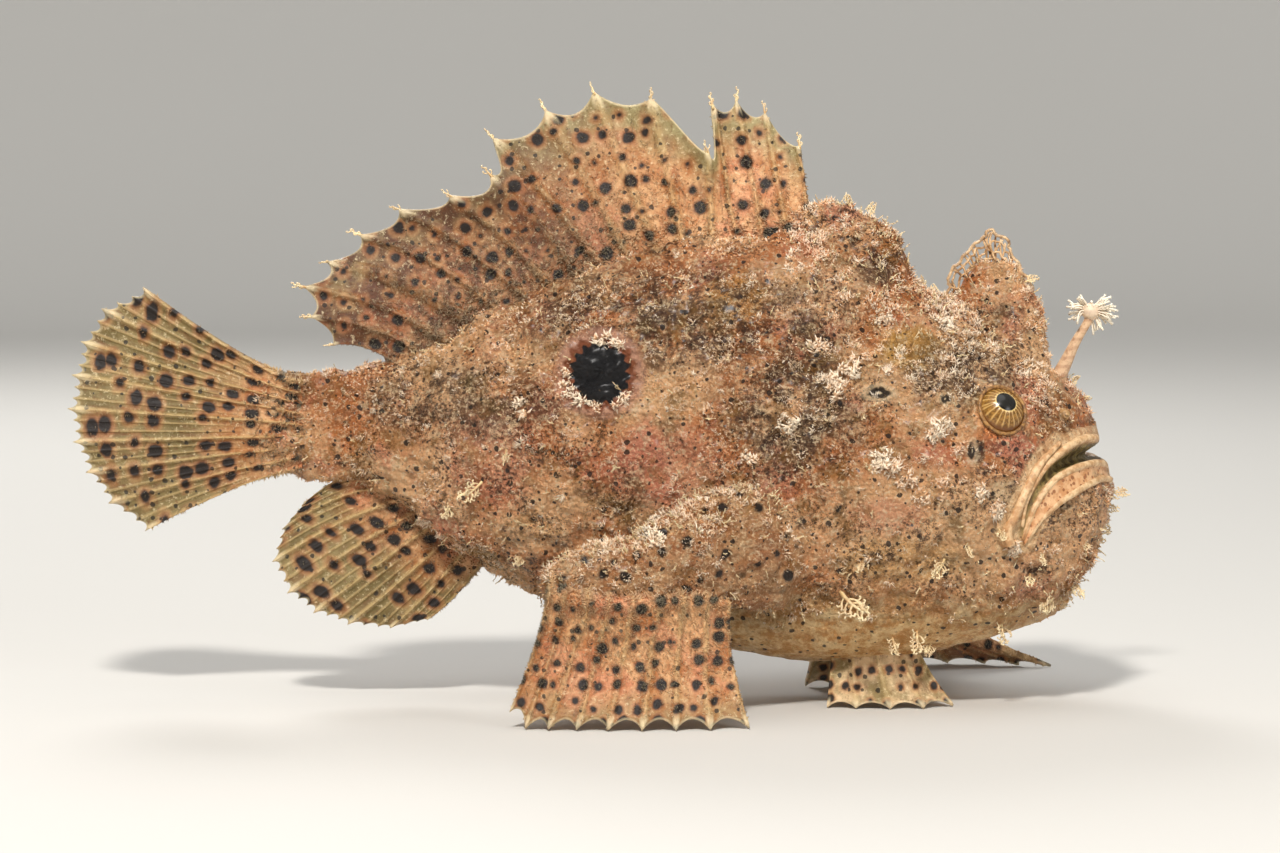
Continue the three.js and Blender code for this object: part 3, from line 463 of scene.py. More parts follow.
skinLook = {
    "orange": tone("D27E42"),
    "tan": tone("F6BE88"),
    "pink": tone("DD8668"),
    "cream": tone("F8DDB2"),
    "brown": tone("3E220E"),
    "olive": tone("6E5620"),
    "yellow": tone("D0A02A"),
    "gold": tone("9A6A24"),
    "dark": tone("150B07"),
    "belly": tone("C48C4C"),
    "bellyPale": tone("E9C892"),
    "eyeSpot": {
        "x": 1.4,
        "z": 66.2,
        "radius": 5.7,
        "teeth": 17.0,
        "toothHeight": 0.45,
        "ragged": 1.6,
        "ringWidth": (1.9, 0.9),  # where it ends, and where it is full
        "haloWidth": (4.2, 2.0),
        "black": tone("08060A"),
        "ring": tone("8A4216"),
        "halo": tone("D9A084"),
    },
    "pores": [  # x, z, half width, half height
        (55.6, 62.6, 2.3, 1.1),
        (68.6, 61.4, 1.0, 0.8),
        (73.6, 51.4, 0.8, 1.7),
        (92.6, 57.6, 0.7, 0.6),
    ],
    "shades": [  # x, z, half width, half height, where it ends, where it is full, strength
        (16, 77, 36, 11, 1.2, 0.5, 1.0),
        (38, 60, 15, 17, 1.3, 0.4, 1.0),
        (72, 66, 13, 7, 1.3, 0.4, 1.0),
        (-26, 60, 26, 8, 1.3, 0.4, 0.85),
    ],
    "patches": [  # x, z, half width, half height, colour, strength
        (62, 71, 7, 5, "yellow", 0.6),
        (56, 86, 5, 3.5, "dark", 0.75),
        (82, 52, 7, 2.4, "pink", 0.7),
        (75, 51, 1.2, 2.6, "dark", 0.8),
        (28, 81, 7, 6, "yellow", 0.45),
        (-20, 50, 11, 13, "pink", 0.55),
        (14, 48, 13, 10, "pink", 0.5),
        (66, 36, 28, 14, "tan", 0.85),
        (44, 82, 12, 7, "tan", 0.7),
        (91, 58, 5, 6, "olive", 0.45),
        (94, 36, 12, 10, "tan", 0.8),
        (60, 30, 14, 5, "yellow", 0.25),
        (-40, 56, 12, 8, "orange", 0.5),
        (57, 39, 9, 4, "pink", 0.45),
        (80.5, 43.5, 4.5, 3, "cream", 0.5),
        (81.5, 78, 2.6, 1.4, "dark", 0.6),
    ],
    "sizes": {  # how large the lumps of each layer are, in millimetres
        "wash": 19,
        "pinkWash": 15,
        "ragged": 3.2,
        "broken": 6,
        "moss": 12,
        "armWash": 6,
        "roughness": 13,
        "mottle": 2.6,
        "crumbs": 0.8,
        "keel": 9,
        "gold": 7,
        "speck": 2.3,
        "pit": 1.35,
        "armSpot": 3.9,
    },
    "keel": (27, 17),  # heights between which the flank turns to the belly's colours
}


def skinColor(r, place, fine=True):
    # Each layer is a + (b - a) * share, with its share from noise, cells or distance. First come patches of orange,
    # tan and pink, then an olive-brown band over the back and flank, mottling, specks and the named marks.
    look, size = skinLook, skinLook["sizes"]
    ragged = r.wobble(place, size["ragged"], size["ragged"])
    color = r.blend(r.ease(r.noise(place, size["wash"], 4, 0.6), 0.4, 0.6), look["orange"], look["tan"])
    pinkWash = r.noise(r.moved(place, (40, 8, 3)), size["pinkWash"], 4, 0.65)
    color = r.blend(r.ease(pinkWash, 0.5, 0.66, 0, 0.7), color, look["pink"])
    for x, z, wide, tall, name, strength in look["patches"]:
        far = r.farFrom(ragged, x, z, wide, tall)
        color = r.blend(r.ease(far, 1.15, 0.55, 0, strength), color, look[name])
    band, front, brow, tailward = (
        r.ease(r.farFrom(ragged, x, z, wide, tall), outer, inner, 0, strength)
        for x, z, wide, tall, outer, inner, strength in look["shades"]
    )
    shade = r.most(r.most(band, front), r.most(brow, tailward))
    broken = r.ease(r.noise(r.moved(place, (7, 30, 9)), size["broken"], 5, 0.7), 0.36, 0.56)
    color = r.blend(r.times(r.times(shade, broken), 0.85), color, look["brown"])
    moss = r.ease(r.noise(r.moved(place, (90, 5, 41)), size["moss"], 4, 0.65), 0.54, 0.68, 0, 0.65)
    color = r.blend(moss, color, look["olive"])
    onArm = r.value("arm")
    armWash = r.ease(r.noise(place, size["armWash"], 4, 0.7), 0.38, 0.6)
    armTone = r.blend(armWash, finLook["flesh"], finLook["fleshPale"])
    color = r.blend(r.times(onArm, 0.85), color, armTone)
    # How strongly the dark mottling shows: more in the shaded band, none on the arms
    rough = r.ease(r.noise(r.moved(place, (21, 3, 18)), size["roughness"], 3, 0.6), 0.44, 0.58)
    rough = r.most(rough, r.times(shade, 0.8))
    rough = r.scaled(r.times(rough, r.rest(onArm)), 0.85, 0.1)
    mottle = r.noise(place, size["mottle"], 5, 0.78)
    crumbs = r.noise(r.moved(place, (3, 60, 12)), size["crumbs"], 3 if fine else 1, 0.75)
    color = r.blend(r.ease(mottle, 0.53, 0.65, 0, 0.45), color, look["cream"])
    color = r.blend(r.times(r.ease(mottle, 0.5, 0.38, 0, 0.95), rough), color, look["brown"])
    color = r.blend(r.ease(crumbs, 0.53, 0.63, 0, 0.65), color, look["cream"])
    color = r.blend(r.times(r.ease(crumbs, 0.48, 0.38, 0, 0.9), rough), color, look["brown"])
    # The keel: height with some noise, but not on the arms
    uneven = r.times(r.less(r.noise(place, size["keel"]), 0.5), 12)
    low = r.plus(r.part(place, 2), uneven)
    low = r.times(r.ease(low, *look["keel"], 0, 0.95), r.rest(onArm))
    color = r.blend(low, color, r.blend(r.ease(mottle, 0.4, 0.62), look["belly"], look["bellyPale"]))
    gold = r.ease(r.noise(r.moved(place, (55, 2, 77)), size["gold"], 4, 0.7), 0.53, 0.66, 0, 0.5)
    color = r.blend(gold, color, look["gold"])
    if fine:
        speck, speckTint = r.cells(r.wobble(place, 1.2, 0.7), size["speck"], 0.95)
        wide = r.scaled(r.part(speckTint, 0), 0.23, 0.02)
        specks = r.ease(r.less(speck, wide), 0.04, 0.0)
        color = r.blend(r.times(specks, 0.9), color, look["dark"])
        pit, pitTint = r.cells(r.wobble(r.moved(place, (5, 9, 2)), 0.9, 0.4), size["pit"], 0.95)
        pits = r.ease(r.less(pit, r.scaled(r.part(pitTint, 0), 0.22, 0.0)), 0.06, 0.0)
        pits = r.times(pits, r.rest(r.times(low, 0.7)))
        color = r.blend(r.times(pits, 0.85), color, look["brown"])
    armSpeck, armTint = r.cells(r.wobble(place, 1.4, 0.9), size["armSpot"], 0.7)
    armEdge = r.less(armSpeck, r.scaled(r.part(armTint, 0), 0.14, 0.13))
    color = r.blend(r.times(r.ease(armEdge, 0.16, 0.02, 0, 0.6), onArm), color, look["brown"])
    color = r.blend(r.times(r.ease(armEdge, 0.06, -0.02, 0, 0.95), onArm), color, look["dark"])
    color = eyeSpot(r, place, color)
    for x, z, wide, tall in look["pores"]:
        # A cream ring, a dark hole and a pale middle, by distance in half widths
        far = r.farFrom(r.wobble(place, 1.1, 1.3), x, z, wide, tall)
        color = r.blend(r.ease(far, 1.9, 1.2, 0, 0.5), color, look["cream"])
        color = r.blend(r.ease(far, 1.15, 0.75, 0, 0.95), color, look["dark"])
        color = r.blend(r.ease(far, 0.3, 0.15, 0, 0.7), color, look["cream"])
    return color


def eyeSpot(r, place, color):
    # A black disc, an orange ring and a pink halo by distance from the spot's middle. Teeth are a sine of the angle.
    spot = skinLook["eyeSpot"]
    local = r.moved(place, (-spot["x"], 0, -spot["z"]), (1, 0, 1))
    angle = r.calc("ARCTAN2", r.part(local, 2), r.part(local, 0))
    teeth = r.calc("SINE", r.times(angle, spot["teeth"]))
    far = r.length(local)
    far = r.plus(far, r.times(r.less(r.noise(place, 1.1), 0.5), spot["ragged"]))
    toothed = r.plus(far, r.times(teeth, spot["toothHeight"]))
    radius = spot["radius"]
    halo, ring = ([radius + wide for wide in spot[key]] for key in ("haloWidth", "ringWidth"))
    color = r.blend(r.ease(far, *halo, 0, 0.8), color, spot["halo"])
    color = r.blend(r.ease(toothed, *ring, 0, 0.9), color, spot["ring"])
    return r.blend(r.ease(toothed, radius + 0.35, radius - 0.2), color, spot["black"])


lipLook = {
    "lip": tone("DFC094"),
    "fold": tone("B98E60"),
    "lining": tone("A08A50"),
    "deep": tone("5A4824"),
    "rim": tone("64401C"),
    "rimPale": tone("AE8046"),
}


def skinMaterial():
    # The skin's colour, turned to the lips' tones by the share "lip" and to the lining's by "mouth"; the bump is
    # 2.4 * noise - 1.1 * distance between grains, less of it where the skin is bare.
    r = Recipe("frogfishSkin")
    place = r.plan()
    color = skinColor(r, place)
    streaks = r.ease(r.noise(r.moved(place, scale=(1, 1, 0.3)), 1.3), 0.35, 0.65)
    lining = r.blend(streaks, lipLook["deep"], lipLook["lining"])
    lipTone = r.blend(r.ease(r.noise(place, 1.6, 4, 0.7), 0.4, 0.62), lipLook["fold"], lipLook["lip"])
    dirt = r.ease(r.noise(r.moved(place, (4, 4, 4)), 0.7, 3, 0.7), 0.42, 0.34, 0, 0.8)
    lipTone = r.blend(dirt, lipTone, skinLook["brown"])
    color = r.blend(r.times(r.value("lip"), 0.85), color, lipTone)
    color = r.blend(r.value("mouth"), color, lining)
    grain, _ = r.cells(r.wobble(place, 1.0, 0.5), 1.0, 1.0)
    pits = r.noise(place, 2.4, 6, 0.8)
    smooth = r.rest(r.times(r.value("bare"), 0.7))
    height = r.times(r.plus(r.times(grain, -1.1), r.times(pits, 2.4)), smooth)
    rough = r.ease(pits, 0.3, 0.7, 0.36, 0.6)
    relief = r.bump(height, 1.4, 1.0)
    return r.finish(color, rough, relief, Specular_IOR_Level=0.45, Coat_Weight=0.12, Coat_Roughness=0.25)


def lipMaterial():
    # Cream lips by noise. Specks, where a cell's distance is under its own random size, lie in the groove; the share
    # "rim" turns the eye's rim and the nostrils brown.
    r = Recipe("frogfishLips")
    place = r.plan()
    color = r.blend(r.ease(r.noise(place, 1.6, 4, 0.6), 0.38, 0.62), lipLook["fold"], lipLook["lip"])
    speck, tint = r.cells(r.wobble(place, 0.8, 0.5), 0.95, 1.0)
    dots = r.ease(r.less(speck, r.scaled(r.part(tint, 0), 0.4, 0.06)), 0.06, 0.0)
    color = r.blend(r.times(r.times(dots, r.value("groove")), 0.85), color, skinLook["brown"])
    color = r.blend(r.times(r.value("groove"), 0.35), color, skinLook["orange"])
    rim = r.blend(r.ease(r.noise(place, 1.1, 4, 0.7), 0.38, 0.62), lipLook["rim"], lipLook["rimPale"])
    color = r.blend(r.value("rim"), color, rim)
    return r.finish(color, 0.42, r.bump(r.noise(place, 0.8, 5, 0.7), 0.25, 0.8), Specular_IOR_Level=0.5)


spinuleLook = {"pale": tone("D8A470"), "white": tone("F0DCC0"), "tip": tone("E0B078"), "tipWhite": tone("F6E8D2")}


def spinuleMaterial():
    # The skin's own colours, paler where a spinule's tint is above 0.7, darker below 0.16, and pale by the share "tip"
    r = Recipe("frogfishSpinules")
    place = r.plan()
    color = skinColor(r, place, fine=False)
    tint = r.value("tint")
    pale = r.blend(r.ease(r.noise(place, 5.0, 4, 0.7), 0.4, 0.6), spinuleLook["pale"], spinuleLook["white"])
    color = r.blend(r.ease(tint, 0.7, 1.0, 0, 0.9), color, pale)
    color = r.blend(r.ease(tint, 0.16, 0.0, 0, 0.5), color, skinLook["brown"])
    lift = r.times(r.value("tip"), r.ease(tint, 0.1, 0.9, 0.3, 0.95))
    color = r.blend(lift, color, r.blend(r.ease(tint, 0.5, 0.9), spinuleLook["tip"], spinuleLook["tipWhite"]))
    return r.finish(color, 0.5, Specular_IOR_Level=0.4)


frondLook = {"stem": tone("B98A4E"), "stemPale": tone("E6CB94"), "tip": tone("F6E8C6")}


def frondMaterial():
    # Two tones by noise, paler along each frond by 0.6 of the share "tip"
    r = Recipe("frogfishFronds")
    place = r.plan()
    color = r.blend(r.ease(r.noise(place, 2.2, 4), 0.38, 0.62), frondLook["stem"], frondLook["stemPale"])
    color = r.blend(r.times(r.value("tip"), 0.6), color, frondLook["tip"])
    return r.finish(color, 0.5, r.bump(r.noise(place, 0.5, 3), 0.12, 0.6), Specular_IOR_Level=0.4)


laceLook = {"cord": tone("9C7044"), "cordPale": tone("D8B488"), "dark": tone("5A3A1C"), "edge": tone("F0DEBC")}


def laceMaterial():
    # Two tones by noise with dark flecks, paler towards the outer edge by half the share "tip"
    r = Recipe("frogfishLace")
    place = r.plan()
    color = r.blend(r.ease(r.noise(place, 1.8, 4, 0.7), 0.4, 0.6), laceLook["cord"], laceLook["cordPale"])
    color = r.blend(r.ease(r.noise(r.moved(place, (8, 0, 8)), 1.2, 3), 0.56, 0.66, 0, 0.7), color, laceLook["dark"])
    color = r.blend(r.times(r.value("tip"), 0.5), color, laceLook["edge"])
    return r.finish(color, 0.45, r.bump(r.noise(place, 0.5, 3), 0.12, 0.6), Specular_IOR_Level=0.4)


finLook = {
    "web": tone("67562A"),
    "webPale": tone("877448"),
    "ray": tone("C2A570"),
    "flesh": tone("AE6C38"),
    "fleshPale": tone("D29F6E"),
    "edge": tone("F0DDB4"),
    "spot": tone("0E0806"),
    "halo": tone("6A3A18"),
    "dim": tone("4C260D"),
    "smallSpots": {"size": 2.5, "keep": 0.45, "low": 0.05, "high": 0.17},
}

# Each fin's finish: how far flesh reaches out from the root, which share of the spots is kept, the range of their
# radii in cells, the size of a cell in millimetres or the gap between rows along the rays, and what else differs
finFinishes = {
    "tailFin": {"fleshReach": 0.3, "keep": 0.9, "rowGap": 4.6, "spot": (0.14, 0.3), "branched": True},
    "analFin": {"fleshReach": 0.35, "keep": 0.9, "rowGap": 4.2, "spot": (0.13, 0.27), "branched": True},
    "dorsalFin": {
        "fleshReach": 0.72,
        "keep": 0.85,
        "spotCell": 4.6,
        "spot": (0.05, 0.27),
        "web": tone("A09468"),
        "dim": (5.0, 9.5),  # rays between which the fin turns darker
    },
    "breastFin": {"fleshReach": 0.86, "keep": 0.92, "spotCell": 3.7, "spot": (0.1, 0.27)},
    "bellyFin": {"fleshReach": 0.2, "keep": 0.7, "spotCell": 3.0, "spot": (0.1, 0.24), "web": tone("E6C69A")},
}


def spotLayer(r, grid, size, keep, low, high):
    # Distance from a cell's middle less a random radius from low to high; spots left out get 1 more, so don't show.
    far, tint = r.cells(grid, size, 0.62, flat=True)
    edge = r.less(far, r.scaled(r.part(tint, 0), high - low, low))
    return r.plus(edge, r.calc("LESS_THAN", r.part(tint, 1), 1 - keep))


def finMaterial(name, fleshReach, keep, spot, spotCell=None, rowGap=None, web=None, branched=False, dim=None):
    # Flesh near the root, paler web beyond, rays as pale lines, soft dark spots with brown halos, and a pale rim.
    # Distance to a ray is |fraction(ray + 0.5) - 0.5|, and the shares are smooth steps of it and of the reach.
    r = Recipe(name)
    place = r.plan()
    ray, reach, share = r.value("ray"), r.value("reach"), r.value("share")
    toRay = r.calc("ABSOLUTE", r.less(r.calc("FRACT", r.plus(ray, 0.5)), 0.5))
    branch = r.calc("ABSOLUTE", r.less(r.calc("FRACT", r.times(ray, 3.0)), 0.5))
    branch = r.times(r.ease(branch, 0.3, 0.44), r.ease(share, 0.2, 0.5))
    color = r.blend(r.ease(r.noise(place, 7, 4, 0.6), 0.35, 0.65), web or finLook["web"], finLook["webPale"])
    flesh = r.blend(r.ease(r.noise(place, 6, 4, 0.7), 0.38, 0.6), finLook["flesh"], finLook["fleshPale"])
    blush = r.ease(r.noise(r.moved(place, (14, 0, 31)), 10, 3, 0.6), 0.5, 0.64, 0, 0.35)
    flesh = r.blend(blush, flesh, skinLook["pink"])
    uneven = r.plus(share, r.times(r.less(r.noise(place, 6), 0.5), 0.35))
    color = r.blend(r.ease(uneven, fleshReach + 0.25, fleshReach - 0.15, 0, 0.95), color, flesh)
    streak = r.noise(r.across(r.times(ray, 3.0), r.times(reach, 0.12)), 1.0, 3, 0.6)
    color = r.blend(r.ease(streak, 0.5, 0.72, 0, 0.55), color, finLook["halo"])
    color = r.blend(r.ease(toRay, 0.13, 0.04, 0, 0.6 if branched else 0.4), color, finLook["ray"])
    if branched:
        color = r.blend(r.times(branch, 0.45), color, finLook["ray"])
    if dim:
        patchy = r.ease(r.noise(place, 5, 4, 0.7), 0.35, 0.6, 0.45, 1.0)
        color = r.blend(r.times(r.ease(ray, *dim), r.times(patchy, 0.95)), color, finLook["dim"])
    grain = r.noise(place, 0.9, 4, 0.75)
    color = r.blend(r.ease(grain, 0.54, 0.68, 0, 0.5), color, finLook["edge"])
    color = r.blend(r.ease(grain, 0.46, 0.32, 0, 0.6), color, finLook["halo"])
    if spotCell:
        grid = r.across(r.part(place, 0), r.part(place, 2))
        edge = spotLayer(r, r.wobble(grid, 1.8, 1.0), spotCell, keep, *spot)
    else:
        grid = r.across(ray, r.calc("DIVIDE", reach, rowGap))
        edge = spotLayer(r, r.wobble(grid, 0.4, 0.22), 1.0, keep, *spot)
    flat = r.across(r.part(place, 0), r.part(place, 2))
    small = spotLayer(r, r.wobble(flat, 1.0, 0.6), **finLook["smallSpots"])
    color = r.blend(r.ease(edge, 0.36, 0.1, 0, 0.4), color, flesh)
    color = r.blend(r.ease(edge, 0.2, 0.0, 0, 0.8), color, finLook["halo"])
    color = r.blend(r.ease(edge, 0.07, -0.04, 0, 0.97), color, finLook["spot"])
    color = r.blend(r.ease(small, 0.06, 0.0, 0, 0.85), color, finLook["spot"])
    claw = r.times(r.ease(toRay, 0.15, 0.05), r.ease(share, 0.9, 0.98, 0, 0.6))
    color = r.blend(r.most(claw, r.ease(share, 0.98, 1.0, 0, 0.5)), color, finLook["edge"])
    color = r.blend(r.times(r.value("tip"), 0.35), color, finLook["edge"])
    height = r.plus(r.times(grain, 1.2), r.ease(toRay, 0.2, 0.0, 0, 1))
    height = r.plus(height, r.times(branch, 0.5 if branched else 0.0))
    return r.finish(color, r.ease(grain, 0.3, 0.7, 0.4, 0.6), r.bump(height, 0.35, 0.8), Specular_IOR_Level=0.45)


eyeLook = {
    "iris": tone("664418"),
    "irisPale": tone("9A6E30"),
    "spoke": tone("D9B06C"),
    "line": tone("D8B878"),
    "rim": tone("0A0706"),
    "pupil": tone("23211D"),
    "back": tone("6E4420"),
    "spokes": 21.0,
    "lineAngles": (26.5, 23.5),  # degrees from the axis, where each ring starts and where it is full
    "rimAngles": (22.6, 21.4),
    "pupilAngles": (18.5, 16.5),
    "backAngles": (50, 62),
}


def eyeMaterial():
    # Rings by the angle from the eye's axis: dark pupil, black rim, cream line, then amber with cream spokes, which
    # are a sine of the turn about the axis.
    r = Recipe("frogfishEye")
    place = r.plan()
    look = eyeLook
    out, around = r.value("axisAngle"), r.value("spoke")
    bend = r.times(r.less(r.noise(place, 1.2, 3), 0.5), 1.6)
    spokes = r.calc("SINE", r.plus(r.times(around, look["spokes"]), bend))
    iris = r.blend(r.ease(r.noise(place, 0.6, 4, 0.7), 0.38, 0.62), look["iris"], look["irisPale"])
    iris = r.blend(r.ease(spokes, 0.3, 1.0, 0, 0.5), iris, look["spoke"])
    toothed = r.plus(out, r.times(spokes, -1.2))
    color = r.blend(r.ease(toothed, *look["lineAngles"]), iris, look["line"])
    color = r.blend(r.ease(out, *look["rimAngles"]), color, look["rim"])
    color = r.blend(r.ease(out, *look["pupilAngles"]), color, look["pupil"])
    color = r.blend(r.ease(out, *look["backAngles"]), color, look["back"])
    relief = r.bump(r.times(spokes, r.ease(out, 22, 30)), 0.08, 0.5)
    return r.finish(color, 0.22, relief, Coat_Weight=0.15, Coat_Roughness=0.2, Specular_IOR_Level=0.4)


lureLook = {"flesh": tone("D2B08C"), "ring": tone("A8795A"), "blotch": tone("8A5A3C"), "thread": tone("F6EEDA")}


def lureMaterial():
    # Rings round the rod are a sine of height plus noise; blotches come by noise, and threads turn cream by "tip".
    r = Recipe("frogfishLure")
    place = r.plan()
    rings = r.calc("SINE", r.times(r.plus(r.part(place, 2), r.noise(place, 2)), 3.4))
    color = r.blend(r.ease(rings, -0.2, 0.9, 0, 0.45), lureLook["flesh"], lureLook["ring"])
    color = r.blend(r.ease(r.noise(place, 1.0, 4, 0.7), 0.5, 0.65, 0, 0.5), color, lureLook["blotch"])
    color = r.blend(r.times(r.value("tip"), 0.9), color, lureLook["thread"])
    return r.finish(color, 0.45, r.bump(r.noise(place, 0.6, 3), 0.15, 0.5), Specular_IOR_Level=0.45)


# The mouth's edges seen from the side
mouthPlan = {
    "opening": [
        (83.2, 35.4), (84.4, 40.2), (86.9, 44.4), (88.6, 46.8), (91.4, 49.1), (94, 50.7), (96.6, 51.6), (112, 51.6),
        (112, 48.4), (99, 48.2), (95.3, 47.4), (91, 46.4), (87.7, 44.2), (84.8, 39.6), (83.5, 34.8),
    ],
    "depth": 4.0,
    "throat": (84.0, 0, 45.0),
    "upperLip": [(83.6, 36.4), (84.6, 42.0), (88.0, 47.4), (91.2, 50.2), (94.2, 52.0), (97.2, 52.9), (99.4, 52.6)],
    "upperRadii": [0.35, 0.5, 0.6, 0.7, 0.8, 0.85, 0.85],
    "lowerLip": [(83.9, 33.4), (86.6, 38.8), (90.2, 42.7), (93.8, 44.8), (97.4, 46), (100.4, 46.3), (102.2, 45.6)],
    "lowerSpread": [0.25, 0.7, 1.0, 1.0, 0.9, 0.8, 0.75],
    "lowerReach": (0.7, -2.0),  # x and z from the lip's line to its outer rim, for a spread of 1
    "innerRadii": [0.4, 0.6, 0.7, 0.75, 0.75, 0.75, 0.7],
    "outerRadii": [0.4, 0.6, 0.7, 0.75, 0.75, 0.7, 0.7],
    "bandLift": 0.55,
    "bandSag": 0.4,
    "bandDepth": 2.4,
    "jawFold": [(91.6, 52.4), (87.4, 48.6), (84.2, 43.2), (82, 38.5), (80.6, 35.6), (80.9, 33)],
    "foldRadii": [0.4, 0.75, 0.85, 0.9, 1.1, 1.35],
}


def insideOutline(outline, x, z):
    # Signed distance to the outline's edges, positive inside. A point is inside where a line from it towards +x
    # crosses the edges an odd number of times.
    p = np.array(outline)
    q = np.roll(p, -1, axis=0)
    at = np.stack([x, z], -1)[..., None, :]
    edge = q - p
    t = np.clip(((at - p) * edge).sum(-1) / (edge**2).sum(-1), 0, 1)
    far = np.linalg.norm(at - p - t[..., None] * edge, axis=-1).min(-1)
    crossing = (p[:, 1] > z[..., None]) != (q[:, 1] > z[..., None])
    where = p[:, 0] + (z[..., None] - p[:, 1]) / np.where(edge[:, 1] == 0, 1e-9, edge[:, 1]) * edge[:, 0]
    inside = (crossing & (x[..., None] < where)).sum(-1) % 2 == 1
    return np.where(inside, far, -far)


def lipPath(edge, sink):
    # One flank's edge, its front end brought to the middle, then the same on the other flank in reverse
    half = onFlank([p[0] for p in edge], [p[1] for p in edge], 1)
    half[:, 1] = np.maximum(half[:, 1] - sink, 0)
    middle = half[-1:] * [1, 0, 1]
    return np.concatenate([half * [1, -1, 1], middle, half[::-1]])


def lipTube(edge, radii, sink):
    # One tube round the mouth: the radii run forward, stay the same across the middle, and run back again.
    return oneTube(lipPath(edge, sink), [*radii, radii[-1], *radii[::-1]], 110, 14)


armPlan = {
    "right": [
        ((42, -14, 33), 12.5, 9), ((32, -25.5, 33.5), 12.2, 7.4), ((20, -33, 31), 10.4, 5.6),
        ((8, -37, 28.4), 7.8, 4.2), ((-3, -38.6, 27.4), 5.2, 3), ((-9, -39, 27.4), 2.2, 1.4),
    ],
    "left": [
        ((42, 14, 32), 12, 9), ((48, 25.5, 30), 11, 7.4), ((54, 34, 25.5), 9, 5.6),
        ((60, 39.5, 20.5), 7, 4.2), ((65, 42.5, 16.5), 4.6, 3), ((68, 43.8, 14), 2, 1.4),
    ],
}


def armRings(stations, steps=60, sides=48):
    # An oval is carried along the arm: path + tall * cosine * up + thick * sine * across.
    at = np.linspace(0, len(stations) - 1, steps)
    path = smoothAt([s[0] for s in stations], at)
    along = unit(np.gradient(path, axis=0))
    up = unit(np.array([0, 0, 1.0]) - along * along[:, 2:3])
    across = np.cross(along, up)
    turn = roundAngles(sides)[None, :, None]
    tall = smoothAt([s[1] for s in stations], at)[:, None, None]
    thick = smoothAt([s[2] for s in stations], at)[:, None, None]
    rings = path[:, None] + np.cos(turn) * up[:, None] * tall + np.sin(turn) * across[:, None] * thick
    points, faces = closedRings(rings[None])
    return points, turnedOut(points, faces)


hornPlan = {
    "second": [  # x, z, half length, half width
        (80.8, 67, 11, 8), (80.7, 75.5, 9.4, 5.2), (80.4, 81, 7.3, 3.4), (80.0, 84.6, 5.2, 2), (80.0, 87.2, 2.6, 1.1),
    ],
    "third": [
        (50.4, 82, 15, 9.5), (49.4, 90, 12.8, 7), (48.2, 94, 10.9, 5), (46.6, 97, 8.2, 3.2), (45.4, 98.8, 5, 1.6),
    ],
}


def hornRings(sections, steps=36, sides=40):
    # Upright stack of ovals: x is the middle plus half length * cosine, y is half width * sine.
    row = smoothAt(np.array(sections, float), np.linspace(0, len(sections) - 1, steps))
    turn = roundAngles(sides)
    x = row[:, 0:1] + row[:, 2:3] * np.cos(turn)
    y = row[:, 3:4] * np.sin(turn)
    z = np.broadcast_to(row[:, 1:2], x.shape)
    points, faces = closedRings(np.stack([x, y, z], -1)[None])
    return points, turnedOut(points, faces)


def mouthShare(p):
    # A smooth step from 0.3 mm outside the mouth's edge to 1.3 mm inside it
    return smoothStep(-0.3, 1.3, insideOutline(mouthPlan["opening"], p[..., 0], p[..., 2]))


def bodyGrid(steps=216, around=170):
    # The body's rings; where the mouth opens, points move towards the throat by depth times the mouth's share.
    s = np.linspace(0, ribCount - 0.04, steps)
    angle = (np.arange(around) + 0.5) / around * 2 * np.pi
    p = bodyPoint(s[:, None], angle[None])
    inward = unit(np.array(mouthPlan["throat"]) - p * [1, 0.6, 1])
    p = p + inward * (mouthPlan["depth"] * mouthShare(p) * (p[..., 0] > 80))[..., None]
    points, faces = closedRings(p[None])
    return points, turnedOut(points, faces)


def eyeRim(side, turns=48, around=12):
    # A ring round the eye's axis: its middle lies rimLift up the axis and rimRadius out, and a small circle of radius
    # rimThick is carried round it.
    centre, normal = eyeFrame(side)
    first = unit(np.cross(normal, [0, 0, 1.0]))
    second = np.cross(normal, first)
    turn = roundAngles(turns)
    small = roundAngles(around)[None, :, None]
    spoke = np.cos(turn)[:, None] * first + np.sin(turn)[:, None] * second
    middle = centre + normal * eyePlan["rimLift"] + spoke * eyePlan["rimRadius"]
    ring = middle[:, None] + eyePlan["rimThick"] * (np.cos(small) * spoke[:, None] + np.sin(small) * normal)
    i, j = np.meshgrid(np.arange(turns), np.arange(around), indexing="ij")
    index = lambda a, b: (a % turns) * around + b % around
    quads = np.stack([index(i, j), index(i + 1, j), index(i + 1, j + 1), index(i, j + 1)], -1).reshape(-1, 4)
    faces = np.concatenate([quads[:, [0, 1, 2]], quads[:, [0, 2, 3]]])
    points = ring.reshape(-1, 3)
    return points, turnedOut(points, faces)


